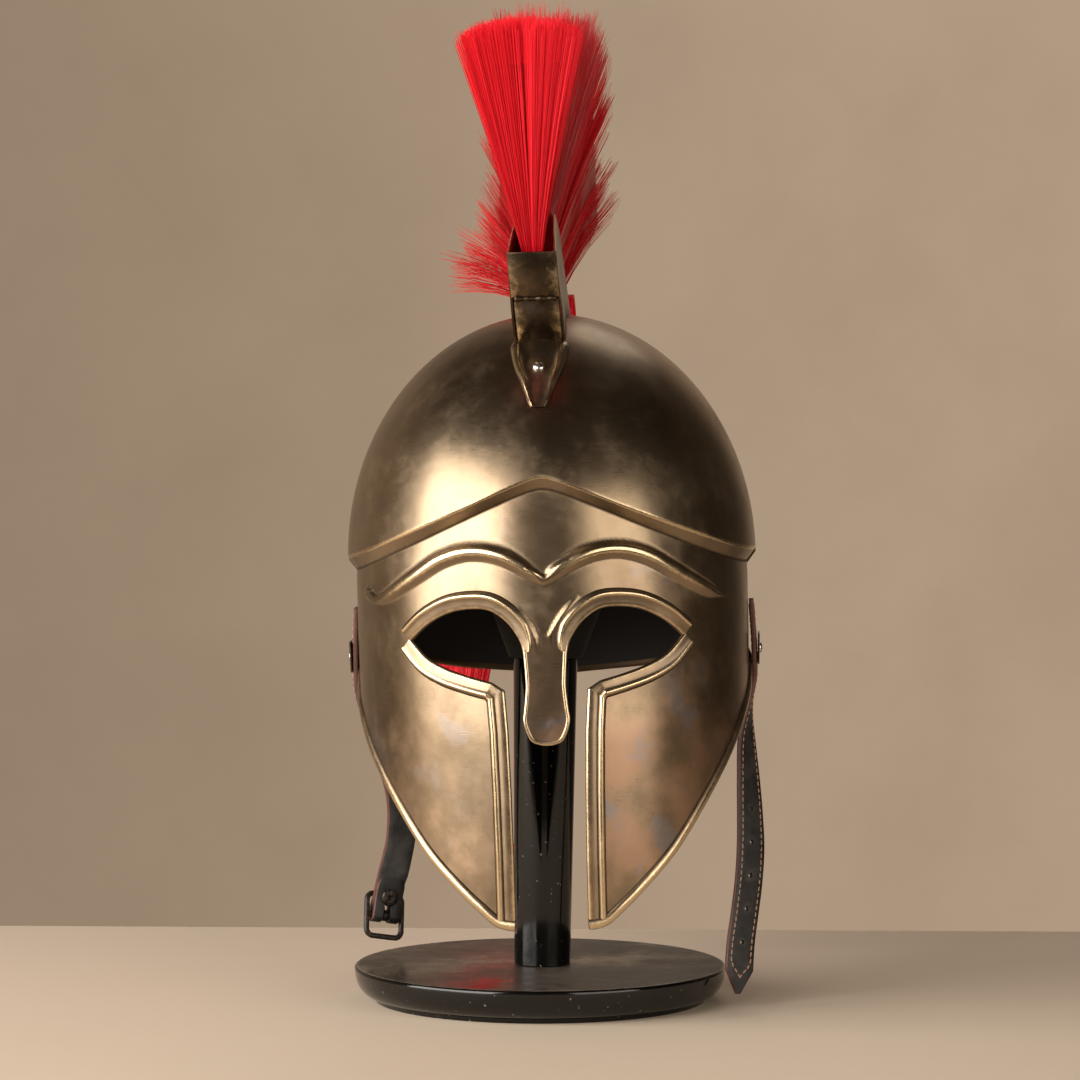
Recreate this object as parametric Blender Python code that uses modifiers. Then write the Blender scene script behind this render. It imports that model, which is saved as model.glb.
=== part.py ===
"""A bronze helmet of the Corinthian type with a hair crest, on a plain turned stand.

Metres, +Z up. The origin is the centre of the stand's underside and the helmet faces -Y.
The helmet has a frame of its own, with its origin in the middle of the bowl at the level of the
ridge's sides, and leans a little about the top of the head block.
"""
import math

import bmesh
import bpy
from mathutils import Matrix, Vector

# General
CLEARANCE = 0.0003
SHEET = 0.0015

# Stand
BASE_DIAMETER = 0.2032
BASE_THICKNESS = 0.019
BASE_FOOT_DIAMETER = 0.185
BASE_FOOT_HEIGHT = 0.003
POST_FOOT_DIAMETER = 0.0305
POST_TOP_DIAMETER = 0.035
POST_LENGTH = 0.168
POST_OFFSET = 0.0012
POST_LEAN = math.radians(0.6)
BLOCK_DIAMETER = 0.0914

# Helmet
HELMET_LEVEL = 0.224
HELMET_LEAN = math.radians(-1.4)
HELMET_WIDTH = 0.222
DOME_HEIGHT = 0.1315
DOME_FRONT = 0.130
DOME_REAR = 0.135
CHEVRON_RISE = 0.048
CHEVRON_ROUNDING = 0.005
STEP_DROP = 0.0065
CHEEK_DROP = 0.189
WALL_SQUARENESS = 2.15

# Face openings
EYE_WIDTH = 0.0615
EYE_CORNER_DROP = 0.0374
EYE_RISE = 0.018
EYE_FALL = 0.026
NOSE_WIDTH = 0.022
NOSE_LENGTH = 0.0482
MOUTH_GAP = 0.040
CHEEK_TIP_ROUNDING = 0.0045

# Raised work on the face
EYE_BORDER = 0.0048
CHEEK_BORDER = 0.0078
BORDER_WIDTH = 0.0036
BORDER_HEIGHT = 0.0014
RIM_INSET = 0.0024
BROW_REACH = 0.0923
BROW_ARCH = 0.0274
BROW_TOP = 0.009
BROW_WIDTH = 0.0085
BROW_HEIGHT = 0.0032

# Crest holder, with angles about the bowl's middle, from upright, positive to the back
HOLDER_FRONT = math.radians(-27)
HOLDER_REAR = math.radians(50)
HOLDER_RADIUS = 0.1855
HOLDER_WIDTH = 0.027
HOLDER_SHEET = 0.0012
TAB_ANGLE = math.radians(22)
TAB_WIDTH = 0.031
TAB_FOLD = 0.0022
HOLDER_RIVET_DIAMETER = 0.007

# Hair
CREST_RADIUS = 0.300
CREST_WIDTH = 0.0716
CREST_STRIPS = 13
HAIR_ROOT_WIDTH = 0.0125
TAIL_ROOT_DIAMETER = 0.015
TAIL_REACH = 0.216
TAIL_DROP = 0.193
TAIL_WIDTH = 0.050

# Straps
STRAP_WIDTH = 0.018
STRAP_THICKNESS = 0.0026
STRAP_BACK = 0.010
STRAP_TOP_DROP = 0.027
STRAP_EDGE_DROP = 0.062
STRAP_RIGHT_DROP = 0.176
STRAP_LEFT_DROP = 0.138
STRAP_POINT = 0.013
STRAP_HOLE = 0.0028
STRAP_HOLE_PITCH = 0.0185
STRAP_HOLE_COUNT = 5
STRAP_FIRST_HOLE = 0.028
PLATE_HEIGHT = 0.017
PLATE_WIDTH = 0.020
PLATE_THICKNESS = 0.001
PLATE_RIVET_DIAMETER = 0.006

# Buckle
BUCKLE_WIDTH = 0.0245
BUCKLE_HEIGHT = 0.027
BUCKLE_CORNER = 0.004
BUCKLE_WIRE = 0.0026
BUCKLE_BAR = 0.0024
BUCKLE_TILT = math.radians(22)
FOLD_WIDTH = 0.0164
FOLD_LENGTH = 0.022
FOLD_SLOT = 0.005
FOLD_RIVET_DIAMETER = 0.010
FOLD_RIVET_RISE = 0.0107
TONGUE_WIDTH = 0.0034
TONGUE_WIRE = 0.0016

# Sections of the face and neck wall: level as a share of CHEEK_DROP above the ridge's sides,
# then the half width, front depth and rear depth as shares of the dome's
WALL_SECTIONS = [
    (0.249, 0.874, 0.896, 0.900),
    (0.011, 0.950, 0.934, 0.956),
    (-0.148, 0.957, 0.950, 0.963),
    (-0.333, 0.954, 0.959, 0.993),
    (-0.492, 0.948, 0.961, 1.040),
    (-0.757, 0.928, 0.946, 1.060),
    (-1.021, 0.901, 0.915, 1.060),
]

# Lower edge of the wall: degrees round from the front, level as a share of CHEEK_DROP
LOWER_EDGE = [
    (0, -1.000), (14, -0.992), (21, -0.943), (28.5, -0.881), (38, -0.797), (47, -0.704),
    (56, -0.616), (66, -0.529), (75, -0.455), (83, -0.405), (88, -0.365), (93, -0.322), (106, -0.302),
    (125, -0.318), (150, -0.365), (180, -0.397),
]

# Eye lids: share of the eye's width from the nose, share of its rise or fall from its outer corner
UPPER_LID = [
    (1.0, 0.0), (0.846, 0.50), (0.642, 0.88), (0.436, 1.0), (0.275, 0.93), (0.127, 0.57),
    (0.033, 0.09), (0.0, -0.32),
]
LOWER_LID = [
    (0.189, -1.0), (0.289, -0.85), (0.50, -0.72), (0.694, -0.57), (0.859, -0.36), (1.0, 0.0),
]

# Nose guard: share of half its width, share of its length down from the upper lid's end
NOSE_SIDE = [(0.91, 0.35), (1.0, 0.60), (1.06, 0.76), (0.76, 0.94), (0.36, 0.99), (0.0, 1.0)]

# Cheek's inner edge: share of half the mouth gap, share of the way from the eye to the tip
CHEEK_SIDE = [(1.0, 0.96), (1.0, 0.70), (1.02, 0.42), (1.06, 0.17)]

# Brows: share of the reach from the middle, share of the arch below the top, share of width
BROW = [
    (-0.02, -0.54, 0.55), (0.098, -0.33, 0.8), (0.211, -0.11, 1.0), (0.339, 0.0, 1.0),
    (0.466, -0.01, 1.0), (0.596, -0.16, 0.95), (0.715, -0.42, 0.9), (0.845, -0.72, 0.8),
    (0.932, -0.92, 0.7), (1.0, -1.0, 0.5),
]

# Holder: share of the way from front to rear, half width of the mouth as a share of the foot's
HOLDER_MOUTH = [(0.0, 0.955), (0.2, 0.80), (0.4, 0.72), (0.7, 0.76), (1.0, 0.90)]

# Foot tabs: share of the tab's length, share of half its width
TAB_LEAF = [(0.0, 0.90), (0.12, 1.0), (0.4, 0.88), (0.65, 0.62), (0.85, 0.33), (1.0, 0.08)]

# Hair crest: share of the way from front to rear, tip's angle beyond its root's in degrees,
# then shares of CREST_RADIUS, of half CREST_WIDTH, and of that half for the shift to +X
CREST = [
    (0.0, 1.5, 1.000, 1.00, -0.14),
    (0.1, 1.0, 0.990, 0.84, -0.02),
    (0.3, 1.0, 0.982, 0.80, 0.16),
    (0.6, 3.0, 0.975, 0.86, 0.08),
    (0.8, 6.0, 0.965, 0.95, -0.02),
    (1.0, 8.0, 0.945, 1.00, -0.04),
]

# Tail beyond the holder: shares of TAIL_REACH back, TAIL_DROP up and TAIL_WIDTH to the side,
# share of its thickness
TAIL = [
    (0.745, 0.725, 0.0, 0.50),
    (0.868, 0.695, -0.03, 0.60),
    (0.965, 0.560, -0.08, 0.72),
    (1.0, 0.330, -0.22, 0.84),
    (0.975, 0.060, -0.50, 0.94),
    (0.920, -0.230, -0.88, 1.0),
    (0.860, -0.492, -1.13, 1.0),
    (0.800, -0.751, -1.12, 0.85),
    (0.762, -0.922, -0.86, 0.50),
    (0.744, -1.0, -0.66, 0.18),
]

# Straps below the helmet's edge: shares of the drop outwards, back and down, twist in degrees
STRAP_RIGHT = [
    (-0.002, 0.0, 0.05, 0), (-0.016, -0.01, 0.13, 5), (-0.025, -0.03, 0.23, 25),
    (-0.019, -0.050, 0.36, 38), (-0.014, -0.077, 0.464, 45), (-0.012, -0.11, 0.564, 50),
    (-0.018, -0.144, 0.663, 50), (-0.030, -0.177, 0.759, 50), (-0.043, -0.204, 0.858, 52),
    (-0.051, -0.238, 1.0, 54),
]
STRAP_LEFT = [
    (-0.003, 0.0, 0.06, 0), (-0.026, 0.010, 0.147, 8), (-0.070, 0.063, 0.322, 25),
    (-0.115, 0.119, 0.497, 42), (-0.143, 0.154, 0.657, 55), (-0.136, 0.168, 0.776, 60),
    (-0.119, 0.168, 0.881, 62), (-0.095, 0.168, 1.0, 62),
]


def clear_scene():
    for obj in list(bpy.data.objects):
        bpy.data.objects.remove(obj, do_unlink=True)


def make_collection(name):
    collection = bpy.data.collections.new(name)
    bpy.context.scene.collection.children.link(collection)
    return collection


def make_material(name, colour, roughness, metallic):
    material = bpy.data.materials.new(name)
    material.use_nodes = True
    shader = material.node_tree.nodes["Principled BSDF"]
    shader.inputs["Base Color"].default_value = (*colour, 1.0)
    shader.inputs["Roughness"].default_value = roughness
    shader.inputs["Metallic"].default_value = metallic
    material.diffuse_color = (*colour, 1.0)
    return material


clear_scene()
PARTS = make_collection("bronze_helmet_on_stand")
CUTTERS = make_collection("cutters")
BRONZE = make_material("bronze", (0.42, 0.30, 0.16), 0.35, 1.0)
DARK_BRONZE = make_material("dark_bronze", (0.30, 0.22, 0.12), 0.4, 1.0)
STEEL = make_material("silver_rivet", (0.72, 0.72, 0.70), 0.3, 1.0)
BLACK_METAL = make_material("black_metal", (0.03, 0.03, 0.03), 0.4, 0.8)
LEATHER = make_material("black_leather", (0.02, 0.018, 0.016), 0.55, 0.0)
HAIR = make_material("red_hair", (0.75, 0.03, 0.04), 0.45, 0.0)
WOOD = make_material("black_wood", (0.03, 0.025, 0.02), 0.3, 0.0)


def add_piece(name, mesh, material, parent=None, collection=PARTS):
    piece = bpy.data.objects.new(name, mesh)
    collection.objects.link(piece)
    if material:
        mesh.materials.append(material)
    piece.parent = parent
    if collection is CUTTERS:
        piece.hide_render = True
        piece.display_type = "WIRE"
    return piece


def add_empty(name, matrix, parent=None):
    empty = bpy.data.objects.new(name, None)
    PARTS.objects.link(empty)
    empty.parent = parent
    empty.matrix_local = matrix
    return empty


def shade(mesh, angle=35):
    mesh.shade_smooth()
    mesh.set_sharp_from_angle(angle=math.radians(angle))


def curve_through(table, column, at):
    """Smooth curve through a table's rows, whose first column rises or falls steadily."""
    rows = table if table[0][0] < table[-1][0] else table[::-1]
    keys = [row[0] for row in rows]
    values = [row[column] for row in rows]
    if at <= keys[0]:
        return values[0]
    if at >= keys[-1]:
        return values[-1]
    i = max(k for k in range(len(keys) - 1) if keys[k] <= at)

    def slope(k):
        low, high = max(k - 1, 0), min(k + 1, len(keys) - 1)
        return (values[high] - values[low]) / (keys[high] - keys[low])

    step = keys[i + 1] - keys[i]
    u = (at - keys[i]) / step
    return ((2 * u**3 - 3 * u**2 + 1) * values[i] + (u**3 - 2 * u**2 + u) * step * slope(i)
            + (3 * u**2 - 2 * u**3) * values[i + 1] + (u**3 - u**2) * step * slope(i + 1))


def smooth_path(points, steps):
    """Catmull-Rom path through points of any size, with the given steps between two of them."""
    points = [Vector(p) for p in points]
    path = []
    for i in range(len(points) - 1):
        a = points[max(i - 1, 0)]
        b, c = points[i], points[i + 1]
        d = points[min(i + 2, len(points) - 1)]
        for k in range(steps):
            u = k / steps
            path.append(0.5 * (2 * b + (c - a) * u + (2 * a - 5 * b + 4 * c - d) * u**2
                               + (3 * b - a - 3 * c + d) * u**3))
    path.append(points[-1])
    return path


def loft(name, rings, material, parent=None, collection=PARTS):
    """Closed body through rings of equal count, which turn right-handed about their path."""
    mesh = bpy.data.meshes.new(name)
    body = bmesh.new()
    rows = [[body.verts.new(point) for point in ring] for ring in rings]
    count = len(rows[0])
    for low, high in zip(rows, rows[1:]):
        for i in range(count):
            j = (i + 1) % count
            body.faces.new((low[i], low[j], high[j], high[i]))
    body.faces.new(rows[0][::-1])
    body.faces.new(rows[-1])
    bmesh.ops.recalc_face_normals(body, faces=body.faces)
    body.to_mesh(mesh)
    body.free()
    shade(mesh)
    return add_piece(name, mesh, material, parent, collection)


def turned(name, profile, material, parent=None, steps=40, collection=PARTS):
    """Turned body: radius and height down the outer side, from the top's middle to the foot's."""
    mesh = bpy.data.meshes.new(name)
    edges = [(i, i + 1) for i in range(len(profile) - 1)]
    mesh.from_pydata([(radius, 0, height) for radius, height in profile], edges, [])
    piece = add_piece(name, mesh, material, parent, collection)
    screw = piece.modifiers.new("turn", "SCREW")
    screw.steps = steps
    screw.render_steps = steps
    screw.use_merge_vertices = True
    screw.merge_threshold = 0.00001
    screw.use_smooth_shade = True
    return piece


def plate(name, outlines, thickness, material, parent=None, matrix=Matrix(), collection=PARTS):
    """Flat plate from outlines in its own X and Y, made a mesh so that it can be cut."""
    curve = bpy.data.curves.new(name, "CURVE")
    curve.dimensions = "2D"
    curve.fill_mode = "BOTH"
    curve.extrude = thickness / 2
    for outline in outlines:
        spline = curve.splines.new("POLY")
        spline.points.add(len(outline) - 1)
        spline.use_cyclic_u = True
        for point, (x, y) in zip(spline.points, outline):
            point.co = (x, y, 0, 1)
    return curve_to_piece(name, curve, material, parent, matrix, collection)


def tube(name, path, radii, sides, material, parent=None, collection=PARTS, cyclic=False):
    """Round bar along a path, with filled ends, made a mesh so that it can be joined."""
    curve = bpy.data.curves.new(name, "CURVE")
    curve.dimensions = "3D"
    curve.bevel_depth = 1.0
    curve.bevel_resolution = sides // 2 - 2
    curve.use_fill_caps = not cyclic
    spline = curve.splines.new("POLY")
    spline.points.add(len(path) - 1)
    spline.use_cyclic_u = cyclic
    for point, place, radius in zip(spline.points, path, radii):
        point.co = (*place, 1)
        point.radius = radius
    return curve_to_piece(name, curve, material, parent, Matrix(), collection)


def curve_to_piece(name, curve, material, parent, matrix, collection):
    holder = bpy.data.objects.new(name + "_curve", curve)
    PARTS.objects.link(holder)
    bpy.context.view_layer.update()
    graph = bpy.context.evaluated_depsgraph_get()
    mesh = bpy.data.meshes.new_from_object(holder.evaluated_get(graph))
    bpy.data.objects.remove(holder, do_unlink=True)
    bpy.data.curves.remove(curve)
    body = bmesh.new()
    body.from_mesh(mesh)
    bmesh.ops.remove_doubles(body, verts=body.verts, dist=0.000005)
    bmesh.ops.recalc_face_normals(body, faces=body.faces)
    body.to_mesh(mesh)
    body.free()
    mesh.materials.clear()
    mesh.name = name
    shade(mesh)
    piece = add_piece(name, mesh, material, parent, collection)
    piece.matrix_local = matrix
    return piece


def boolean(piece, tool, operation):
    step = piece.modifiers.new(operation.lower() + "_" + tool.name, "BOOLEAN")
    step.operation = operation
    step.object = tool
    step.solver = "EXACT"


def facing(point, direction):
    """Matrix that puts a piece's origin at a point, with its own Z along a direction."""
    turn = Vector(direction).to_track_quat("Z", "Y").to_matrix().to_4x4()
    return Matrix.Translation(point) @ turn


# Frames of the stand and the helmet

PIVOT_RISE = DOME_HEIGHT - SHEET - CLEARANCE - BLOCK_DIAMETER / 2
STAND_MATRIX = (Matrix.Translation((POST_OFFSET, 0, BASE_THICKNESS))
                @ Matrix.Rotation(POST_LEAN, 4, "Y"))
PIVOT_LEVEL = HELMET_LEVEL + PIVOT_RISE
HELMET_MATRIX = (Matrix.Translation(STAND_MATRIX @ Vector((0, 0, PIVOT_LEVEL)))
                 @ Matrix.Rotation(HELMET_LEAN, 4, "Y")
                 @ Matrix.Translation((0, 0, -PIVOT_RISE)))
stand_axis = add_empty("stand_axis", STAND_MATRIX)
helmet_axis = add_empty("helmet_axis", HELMET_MATRIX)


# Helmet surfaces

HALF_WIDTH = HELMET_WIDTH / 2


def section_point(angle, half_width, front, rear, squareness):
    s, c = math.sin(angle), math.cos(angle)
    share = 2 / squareness
    depth = front if c > 0 else rear
    return (half_width * math.copysign(abs(s) ** share, s),
            -depth * math.copysign(abs(c) ** share, c))


def wall_size(column, level):
    whole = (None, HALF_WIDTH, DOME_FRONT, DOME_REAR)[column]
    return whole * curve_through(WALL_SECTIONS, column, level / CHEEK_DROP)


def wall_point(angle, level, proud=0.0):
    """Point of the face and neck wall, raised by proud along the wall's normal."""
    def at(a, z):
        x, y = section_point(a, wall_size(1, z), wall_size(2, z), wall_size(3, z), WALL_SQUARENESS)
        return Vector((x, y, z))
    point = at(angle, level)
    if not proud:
        return point
    nudge = 0.01
    around = at(angle + nudge, level) - at(angle - nudge, level)
    upward = at(angle, level + nudge / 10) - at(angle, level - nudge / 10)
    return point + around.cross(upward).normalized() * proud


def wall_angle(x, level):
    """Angle round from the front of a point on the front wall, from its distance to the side."""
    share = min(1.0, abs(x) / wall_size(1, level)) ** (WALL_SQUARENESS / 2)
    return math.copysign(math.asin(share), x)


def dome_point(angle, level):
    share = math.sqrt(max(0.0, 1 - (level / DOME_HEIGHT) ** 2))
    x, y = section_point(angle, HALF_WIDTH * share, DOME_FRONT * share, DOME_REAR * share, 2)
    return Vector((x, y, level))


def ridge_level(angle):
    """Level of the ridge: a chevron over the face, flat round the back."""
    if math.cos(angle) <= 0:
        return 0.0
    level = 0.0
    for _ in range(12):
        x = dome_point(angle, level).x
        side = math.hypot(x, CHEVRON_ROUNDING) - CHEVRON_ROUNDING
        level = CHEVRON_RISE * max(0.0, 1 - side / HALF_WIDTH)
    return level


def lower_level(angle):
    degrees = abs(math.degrees(math.remainder(angle, math.tau)))
    return CHEEK_DROP * curve_through(LOWER_EDGE, 1, degrees)


def make_bowl():
    """The sheet of the bowl and wall, one column of points for each angle round from the front."""
    columns, dome_rows, wall_rows = 52, 7, 5
    mesh = bpy.data.meshes.new("helmet_shell")
    body = bmesh.new()
    top = body.verts.new((0, 0, DOME_HEIGHT))
    grid = []
    for i in range(columns):
        angle = math.tau * i / columns
        ridge, low = ridge_level(angle), lower_level(angle)
        start = math.asin(ridge / DOME_HEIGHT)
        column = []
        for k in range(dome_rows - 1, -1, -1):
            rise = start + (math.pi / 2 - start) * k / dome_rows
            column.append(dome_point(angle, DOME_HEIGHT * math.sin(rise)))
        high = ridge - STEP_DROP
        column += [wall_point(angle, high + (low - high) * k / wall_rows)
                   for k in range(wall_rows + 1)]
        grid.append([body.verts.new(point) for point in column])
    for i in range(columns):
        left, right = grid[i], grid[(i + 1) % columns]
        body.faces.new((top, left[0], right[0]))
        for k in range(len(left) - 1):
            body.faces.new((left[k], left[k + 1], right[k + 1], right[k]))
    bmesh.ops.recalc_face_normals(body, faces=body.faces)
    body.to_mesh(mesh)
    body.free()
    shade(mesh)
    shell = add_piece("helmet_shell", mesh, BRONZE, helmet_axis)
    wall = shell.modifiers.new("sheet", "SOLIDIFY")
    wall.thickness = SHEET
    wall.offset = -1
    wall.use_even_offset = True
    return shell


def lid_points(table):
    reach = NOSE_WIDTH / 2
    points = []
    for along, up in table:
        height = up * (EYE_RISE if up > 0 or table is UPPER_LID else EYE_FALL)
        points.append((reach + along * EYE_WIDTH, -EYE_CORNER_DROP + height))
    return points


def cheek_points():
    eye = -EYE_CORNER_DROP - EYE_FALL
    return [(share * MOUTH_GAP / 2, eye + down * (-CHEEK_DROP - eye)) for share, down in CHEEK_SIDE]


def nose_points():
    top = lid_points(UPPER_LID)[-1][1]
    return [(share * NOSE_WIDTH / 2, top - down * NOSE_LENGTH) for share, down in NOSE_SIDE]


def cut_face(shell):
    """Cuts the eyes, the nose guard's sides and the mouth gap in one outline, mirrored."""
    tip = -CHEEK_DROP
    flare = MOUTH_GAP / 2 + CHEEK_TIP_ROUNDING
    side = [(flare, tip - CHEEK_TIP_ROUNDING * 2), (flare, tip)]
    side += cheek_points()
    side += [(p.x, p.y) for p in smooth_path(lid_points(LOWER_LID), 2)[:-1]]
    side += [(p.x, p.y) for p in smooth_path(lid_points(UPPER_LID), 2)]
    side += nose_points()
    outline = side + [(-x, z) for x, z in side[-2::-1]]
    deep = DOME_FRONT * 1.2
    middle = Matrix.Translation((0, -deep / 2 - DOME_FRONT * 0.2, 0))
    stand = middle @ Matrix.Rotation(math.pi / 2, 4, "X")
    cutter = plate("face_cutter", [outline], deep, None, helmet_axis, stand, CUTTERS)
    boolean(shell, cutter, "DIFFERENCE")


def bead(name, route, width, height, arc_steps=2):
    """Half-round raised strip on the wall: route rows are angle, level and share of the size."""
    sink = SHEET * 0.55
    rings = []
    for i, (angle, level, share) in enumerate(route):
        before, after = route[max(i - 1, 0)], route[min(i + 1, len(route) - 1)]
        along = wall_point(after[0], after[1]) - wall_point(before[0], before[1])
        foot = wall_point(angle, level)
        normal = (wall_point(angle, level, 0.001) - foot).normalized()
        across = normal.cross(along).normalized()
        ring = []
        for k in range(arc_steps + 1):
            turn = math.pi * k / arc_steps
            ring.append(foot + across * (math.cos(turn) * width * share / 2)
                        + normal * (math.sin(turn) * height * share))
        ring.append(ring[-1] - normal * sink)
        ring.append(ring[0] - normal * sink)
        rings.append(ring)
    return loft(name, rings, None, helmet_axis, CUTTERS)


def add_borders(shell):
    """The folded border round each eye and down each cheek, and the rolled lower rim."""
    for side, label in ((1, "right"), (-1, "left")):
        eye = [Vector(p) for p in lid_points(UPPER_LID)[::-1] + lid_points(LOWER_LID)[-2::-1]]
        cheek = [Vector(p) for p in cheek_points()[::-1]]
        outline = eye + cheek
        route = []
        for i, point in enumerate(outline):
            before, after = outline[max(i - 1, 0)], outline[min(i + 1, len(outline) - 1)]
            ahead = (after - before).normalized()
            inset = EYE_BORDER if i < len(eye) - 1 else CHEEK_BORDER
            place = point + Vector((-ahead.y, ahead.x)) * inset
            route.append((side * wall_angle(place.x, place.y), place.y, 1.0))
        shell_bead = bead("border_" + label, route, BORDER_WIDTH, BORDER_HEIGHT)
        boolean(shell, shell_bead, "UNION")
    first = wall_angle(MOUTH_GAP / 2 + CHEEK_BORDER, -CHEEK_DROP)
    count = 36
    rim = []
    for i in range(count + 1):
        angle = first + (math.tau - 2 * first) * i / count
        rim.append((angle, lower_level(angle) + RIM_INSET, 1.0))
    boolean(shell, bead("rim", rim, BORDER_WIDTH, BORDER_HEIGHT), "UNION")


def add_brows(shell):
    for side, label in ((1, "right"), (-1, "left")):
        route = []
        for row in smooth_path(BROW, 2):
            level = BROW_TOP + row[1] * BROW_ARCH
            route.append((side * wall_angle(row[0] * BROW_REACH, level), level, row[2]))
        boolean(shell, bead("brow_" + label, route, BROW_WIDTH, BROW_HEIGHT, 3), "UNION")


def make_helmet():
    shell = make_bowl()
    add_brows(shell)
    add_borders(shell)
    cut_face(shell)


# Crest holder

def crown_point(angle, radius, x):
    """Point in the helmet's frame, from an angle about the bowl's middle, a radius and a side."""
    return Vector((x, radius * math.sin(angle), radius * math.cos(angle)))


def dome_radius(angle, x):
    depth = DOME_FRONT if angle < 0 else DOME_REAR
    share = 1 - (x / HALF_WIDTH) ** 2
    return math.sqrt(share / ((math.sin(angle) / depth) ** 2 + (math.cos(angle) / DOME_HEIGHT) ** 2))


def holder_mouth(angle):
    share = (angle - HOLDER_FRONT) / (HOLDER_REAR - HOLDER_FRONT)
    return HOLDER_WIDTH / 2 * curve_through(HOLDER_MOUTH, 1, share)


def make_holder():
    """A channel of sheet with closed ends, open to the dome and to the hair, and two foot tabs."""
    stations, across, rows = 14, 4, 2
    turns = [HOLDER_FRONT + (HOLDER_REAR - HOLDER_FRONT) * i / stations for i in range(stations + 1)]
    steps = [1 - 2 * k / across for k in range(1, across)]
    ring = [(angle, 1) for angle in turns] + [(HOLDER_REAR, s) for s in steps]
    ring += [(angle, -1) for angle in reversed(turns)] + [(HOLDER_FRONT, -s) for s in steps]
    mesh = bpy.data.meshes.new("crest_holder")
    body = bmesh.new()
    grid = []
    for angle, side in ring:
        foot, mouth = HOLDER_WIDTH / 2, holder_mouth(angle)
        column = []
        for k in range(rows + 1):
            x = side * (foot + (mouth - foot) * k / rows)
            low = dome_radius(angle, x) + CLEARANCE
            column.append(body.verts.new(crown_point(angle, low + (HOLDER_RADIUS - low) * k / rows, x)))
        grid.append(column)
    for i, left in enumerate(grid):
        right = grid[(i + 1) % len(grid)]
        for k in range(rows):
            body.faces.new((left[k], right[k], right[k + 1], left[k + 1]))
    bmesh.ops.recalc_face_normals(body, faces=body.faces)
    body.to_mesh(mesh)
    body.free()
    holder = add_piece("crest_holder", mesh, DARK_BRONZE, helmet_axis)
    wall = holder.modifiers.new("sheet", "SOLIDIFY")
    wall.thickness = HOLDER_SHEET
    wall.offset = 1 if outward_is_inside(mesh) else -1
    for name, start, way in (("tab_front", HOLDER_FRONT, -1), ("tab_back", HOLDER_REAR, 1)):
        boolean(holder, make_tab(name, start, way), "UNION")


def outward_is_inside(mesh):
    """True where an open ring's faces point to its middle."""
    middle = sum((v.co for v in mesh.vertices), Vector()) / len(mesh.vertices)
    face = mesh.polygons[0]
    return (face.center - middle).dot(face.normal) < 0


def make_tab(name, start, way):
    """Leaf-shaped foot tab that lies on the dome, with its two edges folded over."""
    overlap = way * math.radians(1.2)
    rows = 7
    half_across = [(0.0, 0.3), (0.55, 0.3), (0.82, 1.0), (1.0, 0.25)]
    across = [(-s, lift) for s, lift in half_across[:0:-1]] + half_across
    rings = []
    for i in range(rows + 1):
        share = i / rows
        angle = start - overlap + way * TAB_ANGLE * share
        half = TAB_WIDTH / 2 * curve_through(TAB_LEAF, 1, share)
        fold = TAB_FOLD * min(1.0, 0.25 + half / (TAB_WIDTH / 2))
        ring = [crown_point(angle, dome_radius(angle, s * half) + CLEARANCE * 1.6 + HOLDER_SHEET * 0.6
                            + fold * lift, s * half) for s, lift in across]
        ring += [crown_point(angle, dome_radius(angle, s * half) + CLEARANCE * 1.6, s * half)
                 for s in (1.0, 0.5, 0.0, -0.5, -1.0)]
        rings.append(ring)
    return loft(name, rings, None, helmet_axis, CUTTERS)


def rivet_profile(diameter, height):
    radius = diameter / 2
    return [(0, height), (radius * 0.5, height * 0.9), (radius * 0.85, height * 0.6),
            (radius, height * 0.2), (radius, 0), (0, 0)]


def make_holder_rivets():
    for name, start, way in (("rivet_front", HOLDER_FRONT, -1), ("rivet_back", HOLDER_REAR, 1)):
        angle = start + way * TAB_ANGLE * 0.45
        seat = dome_radius(angle, 0) + CLEARANCE * 2.9 + HOLDER_SHEET * 0.6 + TAB_FOLD * 0.3
        point = crown_point(angle, seat, 0)
        rivet = turned(name, rivet_profile(HOLDER_RIVET_DIAMETER, 0.0019), STEEL, helmet_axis, 14)
        rivet.matrix_local = facing(point, dome_normal(angle))


def dome_normal(angle):
    depth = DOME_FRONT if angle < 0 else DOME_REAR
    point = crown_point(angle, dome_radius(angle, 0), 0)
    return Vector((0, point.y / depth**2, point.z / DOME_HEIGHT**2)).normalized()


# Hair

HAIR_FRONT = HOLDER_FRONT + math.radians(1.5)
HAIR_REAR = HOLDER_REAR - math.radians(8.0)


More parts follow.
